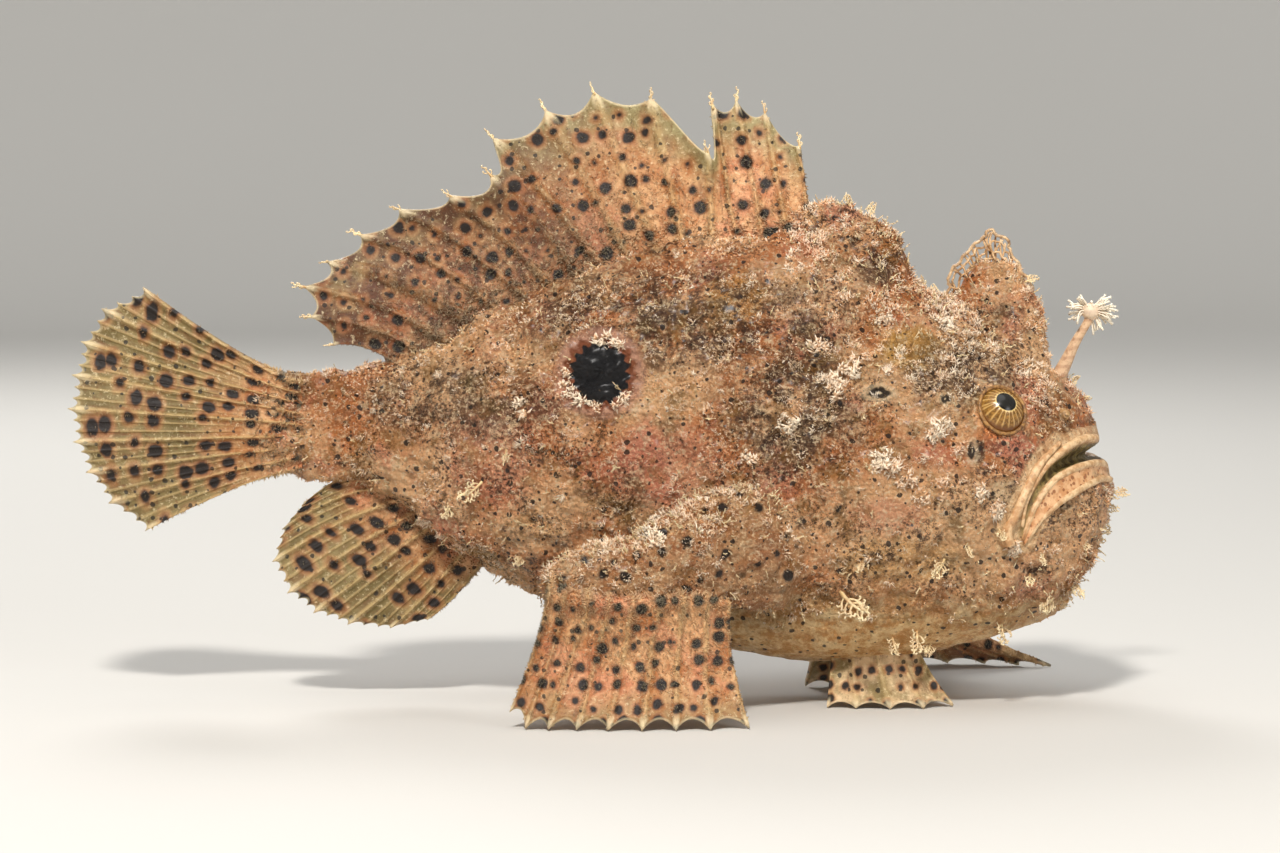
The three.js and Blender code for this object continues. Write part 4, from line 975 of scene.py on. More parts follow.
skinPlan = {
    "voxel": 0.68,
    "quickVoxel": 1.2,
    "relief": [  # rise, size, offset of the noise, its squeeze in height
        (1.0, 9, 0, 1),
        (0.6, 4.2, 50, 1),
        (0.7, 2.6, 0, 1.5),
        (0.36, 1.35, 11, 1),
    ],
    "bareCalm": 0.8,  # how much flatter bare skin is
    "lipReach": (2.9, 2.2),  # distances at which bare skin begins and is full
    "eyeReach": (7.0, 6.2),
    "keelHeight": (22, 15),
    "keelShare": 0.95,
    "armRise": (0.5, 2.5),  # distances outside the flank at which an arm begins and is full
    "creases": [  # x and z of points along it, width, depth
        ([(99.5, 55.6), (97, 55.6), (94.4, 55.0), (91.6, 54.2)], 0.9, 0.9),
        ([(66, 30), (70, 38), (72, 47), (70, 55)], 1.6, 0.7),
        ([(24, 60), (34, 66), (46, 66), (56, 62.6)], 1.8, 0.8),
        ([(46, 22), (49, 32), (50, 44), (46, 54)], 2.2, 1.0),
        ([(86, 27), (82, 30), (78.6, 34), (78.6, 40)], 1.2, 0.7),
    ],
}


def nearPath(p, path):
    # Distance from each point to the nearest of a path's samples, worked through in 40 slices to save memory
    far = lambda part: np.linalg.norm(part[:, None] - path[None], axis=-1).min(1)
    return np.concatenate([far(part) for part in np.array_split(p, 40)])


def skinMarks(p):
    # Shares from 0 to 1 at each point, each a smooth step of a distance: in the mouth, on an arm, near the lips, and
    # bare of spinules, which is the sum of mouth, lips, eyes and keel.
    near = np.full(len(p), 9.0)
    face = p[:, 0] > 76
    lips = [lipPath(mouthPlan["upperLip"], 0.5), lipPath(mouthPlan["lowerLip"], 1.1)]
    lips += [onFlank(*np.array(mouthPlan["jawFold"]).T, side, -0.2) for side in (-1, 1)]
    fine = np.concatenate([smoothAt(path, np.linspace(0, len(path) - 1, 70)) for path in lips])
    near[face] = nearPath(p[face], fine)
    opening = insideOutline(mouthPlan["opening"], p[:, 0], p[:, 2])
    mouth = smoothStep(-0.6, 0.2, opening) * (p[:, 0] > 82)
    eyes = np.minimum(*(np.linalg.norm(p - eyeFrame(side)[0], axis=1) for side in (-1, 1)))
    keel = smoothStep(*skinPlan["keelHeight"], p[:, 2] + 3 * lumps(p, 9)) * (np.abs(p[:, 1]) < 30)
    lip = smoothStep(*skinPlan["lipReach"], near)
    bare = np.clip(lip + mouth + smoothStep(*skinPlan["eyeReach"], eyes) + skinPlan["keelShare"] * keel, 0, 1)
    outside = np.abs(p[:, 1]) - flankAt(p[:, 0], p[:, 2])
    arm = smoothStep(*skinPlan["armRise"], outside) * (p[:, 2] < 56)
    return {"mouth": mouth, "arm": arm, "bare": bare, "lip": lip}


def grooveDepth(p):
    # Sum of depth times e to the minus squared distance over squared width, where the distance is in side view
    depth = 0
    for path, wide, deep in skinPlan["creases"]:
        fine = smoothAt(np.array(path, float), np.linspace(0, len(path) - 1, 60))
        far = nearPath(p[:, [0, 2]], fine)
        depth = depth + deep * np.exp(-((far / wide) ** 2))
    return depth


def makeSkin(material):
    # Closed forms are merged by a voxel remesh and smoothed. Then each point moves along its normal by the sum of
    # rise times noise, less the creases.
    parts = [bodyGrid(), armRings(armPlan["right"]), armRings(armPlan["left"])]
    parts += [hornRings(hornPlan["second"]), hornRings(hornPlan["third"])]
    draft = makePiece("skinDraft", *joinParts(parts), None)
    remesh = draft.modifiers.new("merge", "REMESH")
    remesh.mode = "VOXEL"
    remesh.voxel_size = skinPlan["voxel"] * mm
    soften = draft.modifiers.new("soften", "SMOOTH")
    soften.factor, soften.iterations = 0.5, 3
    made = draft.evaluated_get(bpy.context.evaluated_depsgraph_get()).to_mesh()
    made.calc_loop_triangles()
    points, normals = readAll(made.vertices, "co", 3) / mm - shift, readAll(made.vertices, "normal", 3)
    faces = readAll(made.loop_triangles, "vertices", 3, np.int32)
    draft.to_mesh_clear()
    bpy.data.objects.remove(draft)
    marks = skinMarks(points)
    relief = skinPlan["relief"]
    rise = sum(high * lumps(points * [1, 1, squeeze] + offset, size) for high, size, offset, squeeze in relief)
    rise = rise - grooveDepth(points)
    points = points + normals * (rise * (1 - skinPlan["bareCalm"] * marks["bare"]))[:, None]
    makePiece(
        "frogfish_skin",
        points,
        faces,
        material,
        "skin",
        [
            "tail_stalk", "trunk", "head", "lower_jaw", "mouth_lining",
            "arm_right", "arm_left", "second_spine", "third_spine",
        ],
        values=marks,
    )
    return points, faces, marks


def lipBand(inner, outer):
    # A closed strap from rim to rim: its front sags by a half sine wave, and its back lies deeper in the jaw.
    across = np.linspace(0, 1, 9)
    at = np.linspace(0, 2 * len(inner), 110)
    lift, sag = mouthPlan["bandLift"], mouthPlan["bandSag"]
    edges = [(inner + (outer - inner) * w, -lift + sag * np.sin(np.pi * w)) for w in across]
    front = [smoothAt(lipPath(edge, sink), at) for edge, sink in edges]
    back = [smoothAt(lipPath(edge, mouthPlan["bandDepth"]), at) for edge, _ in edges[::-1]]
    points, faces = closedRings(np.stack(front + back, axis=1)[None])
    return points, turnedOut(points, faces)


nosePlan = {
    "x": 92.7,
    "z": 57.7,
    "lean": (0.25, 0.15),  # how far the nostril leans in x and z for 1 mm out
    "out": (-1, 0.7, 1.5, 1.45, 0.9),
    "radii": [1.5, 1.0, 0.75, 0.45, 0.3],
}


def makeLips(material):
    # Two rims with a sunk band between them make the lower lip: its line plus and minus spread times reach. Tubes
    # make the upper lip, jaw folds and nostrils. Each part carries its share of groove and of rim.
    lower = mouthPlan["lowerLip"]
    wide = np.array(mouthPlan["lowerSpread"])[:, None] * mouthPlan["lowerReach"]
    outer, inner = np.array(lower) + wide, np.array(lower) - wide
    parts = [
        (lipTube(inner, mouthPlan["innerRadii"], 0.1), 0.1, 0),
        (lipTube(outer, mouthPlan["outerRadii"], 0.1), 0.1, 0),
        (lipBand(inner, outer), 1.0, 0),
        (lipTube(mouthPlan["upperLip"], mouthPlan["upperRadii"], 0.2), 0.2, 0),
    ]
    for side in (-1, 1):
        fold = onFlank(*np.array(mouthPlan["jawFold"]).T, side, 0.1)
        parts.append((oneTube(fold, mouthPlan["foldRadii"], 60, 16), 0.3, 0))
        parts.append((eyeRim(side), 0, 1))
        nose = onFlank(nosePlan["x"], nosePlan["z"], side)
        out = np.array([nosePlan["lean"][0], side, nosePlan["lean"][1]])
        knots = [nose + out * far for far in nosePlan["out"]]
        parts.append((oneTube(knots, nosePlan["radii"], 24, 16), 0.0, 0.6))
    points, faces = joinParts([part for part, _, _ in parts])
    groove = np.concatenate([np.full(len(part[0]), g) for part, g, _ in parts])
    rim = np.concatenate([np.full(len(part[0]), e) for part, _, e in parts])
    points = points + 0.12 * lumps(points, 1.6)[:, None] * unit(points - [84, 0, 46])
    makePiece("frogfish_lips", points, faces, material, "jaw_skin", values={"groove": groove, "rim": rim})


# Fins
finShape = {
    "scallop": 0.8,  # the power of the half sine wave that cuts the web back between rays
    "rayWidth": 0.13,  # in gaps between rays
    "branchWidth": 0.07,
    "branchRise": 0.45,
    "branchFrom": (0.25, 0.5),  # shares of the reach where branches begin and are full
    "webTaper": 0.35,
    "rayTaper": 0.6,
    "floorGap": 0.02,
}


def sheetFaces(nu, nv):
    # Two sheets of nu by nv points, back to back, and the rim between them; every quad is cut in two.
    size = nu * nv
    i, j = np.meshgrid(np.arange(nu - 1), np.arange(nv - 1), indexing="ij")
    a, b, c, d = i * nv + j, (i + 1) * nv + j, (i + 1) * nv + j + 1, i * nv + j + 1
    top = np.concatenate([np.stack([a, b, c], -1), np.stack([a, c, d], -1)]).reshape(-1, 3)
    roots, tips = np.arange(nu) * nv, np.arange(nu - 2, -1, -1) * nv + nv - 1
    edge = np.concatenate([roots, (nu - 1) * nv + np.arange(1, nv), tips, np.arange(nv - 2, 0, -1)])
    after = np.roll(edge, -1)
    rim = np.concatenate([np.stack([edge, edge + size, after + size], -1), np.stack([edge, after + size, after], -1)])
    return np.concatenate([top, top[:, ::-1] + size, rim])


def makeFin(name, plan, material, nodes):
    # A grid of ray u by reach v. The middle sheet is the plan's bow from roots to tips, its reach cut back between
    # rays. Each side lies half the thickness along the normal, thickest on the rays by a bell curve.
    shape = finShape
    spans = len(plan["tips"]) - 1
    perSpan, rows = plan.get("perSpan", 12), plan.get("rows", 40)
    u = np.linspace(0, spans, spans * perSpan + 1)[:, None]
    v = np.linspace(0, 1, rows + 1)[None]
    nearest = np.abs(u - np.round(u))
    between = np.sin(np.pi * (u - np.floor(u))) ** shape["scallop"]
    if plan.get("branched"):
        between = 0.45 * between + 0.55 * np.abs(np.sin(3 * np.pi * u)) ** 0.7
    cut = np.full_like(u, plan.get("notch", 0.07))
    for span, deep in plan.get("deepNotch", {}).items():
        cut = np.where(np.floor(u) == span, deep, cut)
    root = smoothAt(plan["roots"], u[:, 0])[:, None]
    tip = smoothAt(plan["tips"], u[:, 0])[:, None]
    reach = v * (1 - cut * between)
    middle = plan["bow"](root, tip, reach[..., None], u[..., None])
    ripple = plan.get("ripple", 0.35) * lumps(middle, 5.0) * reach
    middle = middle + np.stack([0 * ripple, ripple, 0 * ripple], -1)
    normal = unit(np.cross(np.gradient(middle, axis=0), np.gradient(middle, axis=1)))
    ridge = np.exp(-((nearest / shape["rayWidth"]) ** 2))
    if plan.get("branched"):
        branch = np.exp(-(((np.abs(nearest - 1 / 3)) / shape["branchWidth"]) ** 2))
        ridge = ridge + shape["branchRise"] * smoothStep(*shape["branchFrom"], v) * branch
    web, ray = plan.get("web", 0.7), plan.get("ray", 2.0)
    rib = (ray * (1 - shape["rayTaper"] * reach)) * ridge * 0.75
    thick = web * (1 - shape["webTaper"] * reach) + rib + plan["flesh"](reach, u)
    thick = thick * (1 - 0.5 * smoothStep(0.97, 1.0, v))
    sides = np.stack([middle + normal * thick[..., None] / 2, middle - normal * thick[..., None] / 2])
    if plan.get("floor"):
        sides[..., 2] = np.maximum(sides[..., 2], shape["floorGap"])
    points, faces = sides.reshape(-1, 3), sheetFaces(*middle.shape[:2])
    length = np.linalg.norm(tip - root, axis=-1) * reach
    kept = {"ray": np.broadcast_to(u, reach.shape), "reach": length, "share": np.broadcast_to(v, reach.shape)}
    values = {key: np.stack([numbers, numbers]) for key, numbers in kept.items()}
    return makePiece(name, points, turnedOut(points, faces), material, "fin_web", nodes, values=values)


def straight(root, tip, v):
    # root + (tip - root) * v
    return root + (tip - root) * v


tailTips = np.array([
    (-90.0, 82.4), (-98.6, 78.0), (-102.9, 71.4), (-104.4, 64.8), (-105.0, 58.2),
    (-103.9, 51.6), (-101.6, 45.4), (-97.4, 39.0), (-90.2, 33.3),
])
tailShape = {"curl": 0.32, "sway": 1.3, "swayStep": 1.1, "rootX": -58.0, "rootHeights": (63.6, 46.4)}


def tailBow(root, tip, v, u):
    # Straight in x; z goes by v to a power that is larger on the outer rays, and y sways by a sine over the rays.
    edge = np.abs(u / (len(tailTips) - 1) - 0.5) * 2
    p = straight(root, tip, v)
    z = root[..., 2:] + (tip - root)[..., 2:] * v ** (1 + tailShape["curl"] * edge)
    y = p[..., 1:2] + tailShape["sway"] * v * np.sin(u * tailShape["swayStep"])
    return np.concatenate([p[..., 0:1], y, z], -1)


tailPlan = {
    "tips": np.stack([tailTips[:, 0], 1.6 * np.sin(np.arange(9) * 0.9), tailTips[:, 1]], -1),
    "roots": np.array([(tailShape["rootX"], 0, z) for z in np.linspace(*tailShape["rootHeights"], 9)]),
    "bow": tailBow,
    "branched": True,
    "notch": 0.05,
    "perSpan": 18,
    "flesh": lambda v, u: 5.0 * np.maximum(0, 1 - v * 3.2),
}

analTips = np.array([
    (-58.5, 38.5), (-62.5, 33.9), (-64.4, 27.5), (-61.4, 21.2),
    (-56.2, 17.2), (-49.4, 14.8), (-41.0, 13.9), (-33.5, 15.6),
])
analShape = {"bulge": 2.2, "fall": 3.7}  # how far the rear ray arches, and how much less the front one does


def analBow(root, tip, v, u):
    # Straight, with z arched by the sine of pi * v times bulge less fall * share of the way over the rays
    p = straight(root, tip, v)
    sag = np.sin(np.pi * v) * (analShape["bulge"] - analShape["fall"] * u / (len(analTips) - 1))
    return p + np.concatenate([0 * sag, 0 * sag, sag], -1)


analPlan = {
    "tips": np.stack([analTips[:, 0], -1.5 + 1.2 * np.cos(np.arange(8)), analTips[:, 1]], -1),
    "roots": np.stack([np.linspace(-44, -21, 8), np.zeros(8), np.linspace(45, 29.5, 8)], -1),
    "bow": analBow,
    "branched": True,
    "notch": 0.06,
    "perSpan": 18,
    "flesh": lambda v, u: 3.5 * np.maximum(0, 1 - v * 1.9),
}

dorsalTips = np.array([
    (41.0, 110.5), (34.1, 117.2), (28.3, 119.6), (23.6, 118.6), (22.8, 109.2), (11.4, 120.0), (-0.1, 121.4),
    (-9.7, 117.6), (-20.1, 112.1), (-20.5, 104.7), (-28.6, 100.7), (-38.8, 97.9), (-46.8, 92.8), (-53.0, 87.4),
    (-57.8, 82.6), (-56.3, 76.6), (-52.0, 71.0),
])
dorsalShape = {
    "rootX": (44, -37),
    "rootDepth": 4,
    "arch": 5,
    "archFrom": 6,  # the ray from which the arch grows, over as many more as "archOver"
    "archOver": 9,
    "rear": 13,  # the last rays arch less
    "rearArch": 0.4,
    "frontArch": 0.8,
    "sway": 2.6,
    "swayStep": 1.15,
    "swayStart": 0.4,
    "leanFrom": 9,  # rays behind this one lean to the right
    "lean": 1.2,
}


def dorsalRoots():
    # Evenly spaced in x along the back, each rootDepth under the back's line
    x = np.linspace(*dorsalShape["rootX"], len(dorsalTips))
    s = np.interp(x, bodyPlan["backX"], np.arange(ribCount + 1))
    return np.stack([x, 0 * x, smoothAt(bodyPlan["backZ"], s) - dorsalShape["rootDepth"]], -1)


def dorsalBow(root, tip, v, u):
    # Straight, with z arched by the sine of pi * v, and y moved by v^2 times a sine over the rays less the lean
    shape = dorsalShape
    p = straight(root, tip, v)
    grown = np.clip((u - shape["archFrom"]) / shape["archOver"], 0, 1)
    share = np.where(u > shape["rear"], shape["rearArch"], shape["frontArch"])
    lift = np.sin(np.pi * np.clip(v, 0, 1)) * shape["arch"] * grown * share
    wave = shape["sway"] * np.sin(u * shape["swayStep"] + shape["swayStart"])
    sway = v * v * (wave - np.where(u > shape["leanFrom"], shape["lean"], 0))
    return p + np.concatenate([0 * lift, sway, lift], -1)


dorsalPlan = {
    "tips": np.stack([dorsalTips[:, 0], 0 * dorsalTips[:, 0], dorsalTips[:, 1]], -1),
    "roots": dorsalRoots(),
    "bow": dorsalBow,
    "notch": 0.09,
    "deepNotch": {3: 0.16, 4: 0.03},
    "rows": 56,
    "ray": 3.0,
    "ripple": 1.2,
    "flesh": lambda v, u: (9 - 4 * np.clip(u / 10, 0, 1)) * np.maximum(0, 1 - v / 0.72) ** 1.7,
}


def footBow(flare):
    # Sideways spread lags behind the way down, so the fin flares near the floor: x and y go by v to the power flare.
    def bow(root, tip, v, u):
        # x and y from the flared line, z from the straight one
        p = straight(root, tip, v)
        wide = root + (tip - root) * v**flare
        return np.concatenate([wide[..., 0:2], p[..., 2:]], -1)

    return bow


def footPlan(roots, tips, flare, rootFlesh):
    # A fin that stands on the floor. Its flesh swells over the first fifth and then thins by 1 - v to the power 1.9.
    return {
        "roots": np.array(roots, float),
        "tips": np.array(tips, float),
        "bow": footBow(flare),
        "flesh": lambda v, u: rootFlesh * smoothStep(0, 0.2, v) * np.maximum(0, 1 - v) ** 1.9,
        "ripple": 0.7,
        "floor": True,
        "ray": 2.2,
    }


rightBreastPlan = footPlan(
    [
        (-7.5, -39, 30), (-5, -39, 29), (-1, -38.6, 28), (3, -38, 27.5), (7.5, -37.4, 27.5), (12, -36.3, 27.5),
        (16, -35, 27.5), (20, -33.4, 27), (23.5, -31.4, 26),
    ],
    [
        (-15.6, -44.5, 3.2), (-12.6, -46, 0.3), (-8.2, -47, 0.3), (-2.8, -47.8, 0.3), (3.2, -48.2, 0.3),
        (9.6, -48.4, 0.3), (16, -48, 0.3), (22.6, -47, 0.3), (30, -45, 0.3),
    ],
    flare=1.6,
    rootFlesh=12.5,
)
leftBreastPlan = footPlan(
    [
        (57, 37, 22), (59, 38.4, 20.4), (61, 39.6, 19), (63, 40.8, 17.6),
        (64.6, 41.6, 16.4), (66, 42.4, 15.2), (67, 42.9, 14.3), (67.6, 43.2, 13.8),
    ],
    [
        (46, 47, 0.3), (52, 50, 0.3), (59, 52, 0.3), (67, 52.6, 0.3),
        (75, 52.2, 0.3), (83, 51, 0.3), (90, 49, 0.3), (96.5, 46, 0.3),
    ],
    flare=1.35,
    rootFlesh=8.5,
)


def bellyPlan(side, setBack):
    # The same small foot on either side: x less setBack, y times side
    roots = [(48, 7, 15), (51.5, 8, 15), (55.5, 8.5, 15), (59.5, 8.5, 15), (63, 8, 15)]
    tips = [(46, 16, 0.3), (51.6, 18, 0.3), (58.4, 18.6, 0.3), (65, 17.6, 0.3), (71, 15, 0.3)]
    move = lambda rows: [(x - setBack, side * y, z) for x, y, z in rows]
    return footPlan(move(roots), move(tips), flare=1.7, rootFlesh=3.2)


# Eyes
def makeEye(side, material, rows=60, turns=72):
    # A ball whose pole is on the eye's axis: centre + radius * (cosine of the angle * axis + sine * spoke). Each
    # point keeps its angle from that axis and its turn about it.
    centre, normal = eyeFrame(side)
    tilt = np.radians(eyePlan["lookUp"])
    normal = unit(normal * np.cos(tilt) + np.array([0, 0, 1.0]) * np.sin(tilt))
    first = unit(np.cross(normal, [0, 0, 1.0]))
    second = np.cross(normal, first)
    out = np.linspace(0.02, np.pi - 0.02, rows)[:, None]
    turn = roundAngles(turns)[None]
    flat = eyePlan["radius"] * (1 + eyePlan["lensRise"] * np.exp(-((out / eyePlan["lensAngle"]) ** 2)))
    away = np.cos(turn)[..., None] * first + np.sin(turn)[..., None] * second
    ring = centre + flat[..., None] * (np.cos(out)[..., None] * normal + np.sin(out)[..., None] * away)
    points, faces = closedRings(ring[None])
    degrees = np.concatenate([np.broadcast_to(np.degrees(out), (rows, turns)).ravel(), [0, 180]])
    spoke = np.concatenate([np.broadcast_to(np.minimum(turn, 2 * np.pi - turn), (rows, turns)).ravel(), [0, 0]])
    name = "eye_right" if side < 0 else "eye_left"
    values = {"axisAngle": degrees, "spoke": spoke}
    makePiece("frogfish_" + name, points, turnedOut(points, faces), material, "eye", [name], values=values)


def bakeLayer(piece, faces, uv):
    # Each corner of a face takes its point's place in the unwrap.
    layer = piece.data.uv_layers.new(name="OFBake")
    layer.data.foreach_set("uv", uv[faces.ravel()].astype(np.float32).ravel())


def curlPath(start, along, square, size, roll, t):
    # A line that leaves straight and rolls up at its end: its heading turns by roll times the cube of its length.
    heading = roll * t**3
    step = np.cos(heading) * along[:, None] + np.sin(heading) * square[:, None]
    run = np.cumsum(step, axis=1) - step[:, :1]
    return start[:, None] + size * run / (t.shape[1] - 1)


frondShape = {
    "stem": (0.85, 0.1),  # the stem's length, and how much of it is sunk, in frond lengths
    "bend": 0.7,
    "thinnest": 0.14,
    "thinnestTwig": 0.11,
    "taper": (1.15, 0.6),
    "twigsFrom": 0.22,  # shares of the stem over which twigs leave it
    "twigsOver": 0.74,
    "roll": (1.5, 2.5),  # least roll of a twig's end, and how much more it may be, in radians
    "knob": 0.38,  # a knob's length in twig lengths
}


def frondSet(
    name, roots, directions, lengths, material, uvRoot, twigs,
    twigLength=0.5, thick=0.05, facing=None, knobs=(), steps=7, sides=(5, 4), slotName="skin",
):
    # The stem is root + direction * length * share + aside * bend * share^2. Twigs leave it on both sides by turns,
    # straight at first and rolled up at the end, some with short knobs. "tip" runs from 0 at a root to 1 at an end.
    roots, directions = np.asarray(roots, float), unit(np.asarray(directions, float))
    lengths = np.asarray(lengths, float)
    shape, count = frondShape, len(roots)
    flat = chance.normal(size=(count, 3))
    flat = unit(flat) if facing is None else np.asarray(facing, float) + 0.35 * flat
    aside = unit(np.cross(directions, flat))
    over = np.cross(directions, aside)
    t = np.linspace(0, 1, steps)[None, :, None]
    bend = (chance.random((count, 1, 1)) - 0.5) * shape["bend"]
    size = lengths[:, None, None]
    stem, sunk = shape["stem"]
    ahead = lambda s: directions[:, None] * size * (s * stem - sunk)
    path = lambda s: roots[:, None] + ahead(s) + aside[:, None] * size * bend * s * s
    wide, taper = shape["taper"]
    radii = np.maximum(shape["thinnest"], lengths[:, None] * thick) * (wide - taper * t[..., 0])
    parts, tips, owner = [], [], []

    def grow(run, radius, around, low):
        # A tube for every frond at once, with its shares of "tip" from low to 1 and the number of its frond
        parts.append(tubes(run, radius, around))
        tips.append(np.tile(np.concatenate([np.repeat(low + (1 - low) * t[0, :, 0], around), [low, 1]]), count))
        owner.append(np.repeat(np.arange(count), run.shape[1] * around + 2))

    grow(path(t), radii, sides[0], 0.0)
    swell = 1.0 - 0.25 * t[..., 0] + 0.6 * smoothStep(0.7, 1.0, t[..., 0])
    for k in range(twigs):
        share = shape["twigsFrom"] + shape["twigsOver"] * k / max(1, twigs - 1)
        start = path(np.full((1, 1, 1), share))[:, 0]
        turn = k * np.pi + (chance.random((count, 1)) - 0.5) * 1.3
        out = np.cos(turn) * aside + np.sin(turn) * over
        away = unit(directions * (0.35 + 0.5 * share) + out)
        square = unit(directions - (directions * away).sum(1, keepdims=True) * away)
        long = size * twigLength * (1 - 0.35 * share) * (0.8 + 0.4 * chance.random((count, 1, 1)))
        roll = shape["roll"][0] + shape["roll"][1] * chance.random((count, 1, 1))
        run = curlPath(start, away, square, long, roll, t)
        thin = np.maximum(shape["thinnestTwig"], lengths[:, None] * thick * 0.55) * swell
        grow(run, thin, sides[1], 0.35)
        for at, turned in knobs:
            off = unit(away + turned * square)
            knob = curlPath(run[:, int(at * (steps - 1))], off, turned * away, long * shape["knob"], 1.5, t)
            grow(knob, thin * 0.85, sides[1], 0.6)
    points, faces = joinParts(parts)
    points[:, 2] = np.maximum(points[:, 2], 0.05)
    piece = makePiece(name, points, faces, material, slotName, values={"tip": np.concatenate(tips)})
    spin = 2.4 * np.arange(len(points))
    speckle = 0.0014 * np.stack([np.cos(spin), np.sin(spin)], -1)  # each frond's own small patch of the unwrap
    bakeLayer(piece, faces, np.asarray(uvRoot)[np.concatenate(owner)] + speckle)


frondPlan = {
    "hanging": [  # x, z on the flank, length
        (48.6, 23.4, 8.2), (58.8, 14.2, 4.4), (63.5, 15.6, 5.6), (68.2, 30.0, 5.0), (66.5, 12.6, 3.6),
        (85.5, 26.8, 3.0), (90.8, 22.0, 5.8), (95.4, 24.6, 4.4), (80.4, 16.6, 5.4), (-22, 44.5, 6.0),
        (-28, 40, 4.2), (-8, 26, 3.4), (-14, 30, 3.0), (52, 30, 2.6), (73, 33, 2.6),
        (97.5, 33, 3.0), (88, 31, 2.8), (79, 36.2, 3.0), (34, 24, 3.0), (-17, 51, 3.0),
    ],
    "profile": [  # x, z on the middle line, heading in degrees, length
        (86.0, 83.6, 25, 3.0), (97.0, 59.6, 15, 2.6), (95.2, 63.4, 30, 2.2), (65.2, 81.2, 88, 4.0),
        (58.4, 91.4, 40, 3.4), (54.6, 96.6, 65, 3.2), (68.4, 80.4, 100, 3.0), (50.8, 98.6, 95, 2.8),
        (103.2, 41.2, -5, 4.4), (102.4, 38.4, -25, 3.0), (101.6, 35.2, -30, 2.6), (100.2, 32.4, -40, 2.8),
        (98.0, 29.2, -50, 3.2),
    ],
    "scatter": 520,
    "crest": 340,
    "armTop": 260,
    "jawEdge": 80,
    "length": (1.1, 3.0),
}


def makeFronds(material, skinPoints, skinFaces, marks):
    # Lace fronds stand at named places. Small ones stand on faces drawn from the crest, the arms' tops, the jaw's edge
    # and all over, and point along the face's normal, a little backwards, plus a random lean.
    roots, directions, lengths = [], [], []
    for x, z, length in frondPlan["hanging"]:
        for side in (-1, 1):
            roots.append(onFlank(x, z, side, -0.1))
            directions.append((chance.normal() * 0.25, side * 0.7, -0.8))
            lengths.append(length)
    for x, z, heading, length in frondPlan["profile"]:
        angle = np.radians(heading)
        roots.append(np.array([x, 0.8 * chance.normal(), z]))
        directions.append((np.cos(angle), 0.15 * chance.normal(), np.sin(angle)))
        lengths.append(length)
    roots = np.array(roots)
    outward = np.stack([0.2 + 0 * roots[:, 0], np.where(roots[:, 1] > 3, 1.0, -1.0), 0 * roots[:, 0]], -1)
    lacy = {"twigLength": 0.6, "facing": outward, "knobs": ((0.35, 1), (0.6, -1))}
    frondSet("frogfish_lace_fronds", roots, directions, lengths, material, bodyUnwrap(roots), 9, **lacy)
    corner = skinPoints[skinFaces]
    middle, facing = corner.mean(1), unit(faceCross(corner))
    hairy = marks["bare"][skinFaces].mean(1) < 0.2
    crest = hairy & (facing[:, 2] > 0.35) & (middle[:, 0] > 42) & (middle[:, 2] > 70)
    armTop = hairy & (np.abs(middle[:, 1]) > 26) & (facing[:, 2] > 0.4) & (middle[:, 2] < 50)
    jawEdge = hairy & (middle[:, 0] > 70) & (middle[:, 2] < 34) & (facing[:, 2] < -0.1)
    choice = lambda mask, n: chance.choice(np.flatnonzero(mask), n)
    places = {"crest": crest, "armTop": armTop, "jawEdge": jawEdge, "scatter": hairy}
    picked = np.concatenate([choice(mask, frondPlan[key]) for key, mask in places.items()])
    low, high = frondPlan["length"]
    directions = facing[picked] + [-0.25, 0, 0] + 0.3 * chance.normal(size=(len(picked), 3))
    lengths = low + (high - low) * chance.random(len(picked)) ** 1.4
    roots = middle[picked]
    frondSet("frogfish_fronds", roots, directions, lengths, material, bodyUnwrap(roots), 3, steps=4, sides=(3, 3))


def finTipCurls(name, plan, material, rays, length):
    # Each ray ends in a small forked curl, which points on from 0.9 to 0.985 of the ray.
    root, tip = smoothAt(plan["roots"], rays)[:, None], smoothAt(plan["tips"], rays)[:, None]
    u = np.asarray(rays, float)[:, None, None]
    end = plan["bow"](root, tip, np.array([[[0.985]]]), u)[:, 0]
    before = plan["bow"](root, tip, np.array([[[0.9]]]), u)[:, 0]
    uvRoot = np.stack([0.8 + 0.18 * u[:, 0, 0] / u.max(), 0.92 + 0 * u[:, 0, 0]], -1)
    lengths = length * (0.8 + 0.4 * chance.random(len(u)))
    frondSet(name, end, end - before, lengths, material, uvRoot, 4, thick=0.09, slotName="fin_web")


# Lure: a rod with a pompom of threads
lurePlan = {
    "rod": [(91.6, 0, 62), (93.8, -0.3, 66.5), (96.1, -0.6, 71.4), (98.4, -0.8, 75.4), (99.0, -0.9, 77.4)],
    "rodRadii": [1.9, 1.4, 1.0, 0.85, 1.1],
    "bulb": (99.0, -0.9, 77.6),
    "bulbHeights": (-1.9, -1.0, 0, 1.0, 1.7),
    "bulbRadii": [0.5, 1.5, 1.75, 1.3, 0.3],
    "fans": [(12, 84, 34, 5.6), (158, 84, 28, 4.8), (-65, 50, 8, 4.2), (85, 70, 10, 2.6)],  # turn, spread, count, size
    "threadRadius": (0.17, 0.1),  # of a thread, and how much more at its end
    "threadSides": 5,
}


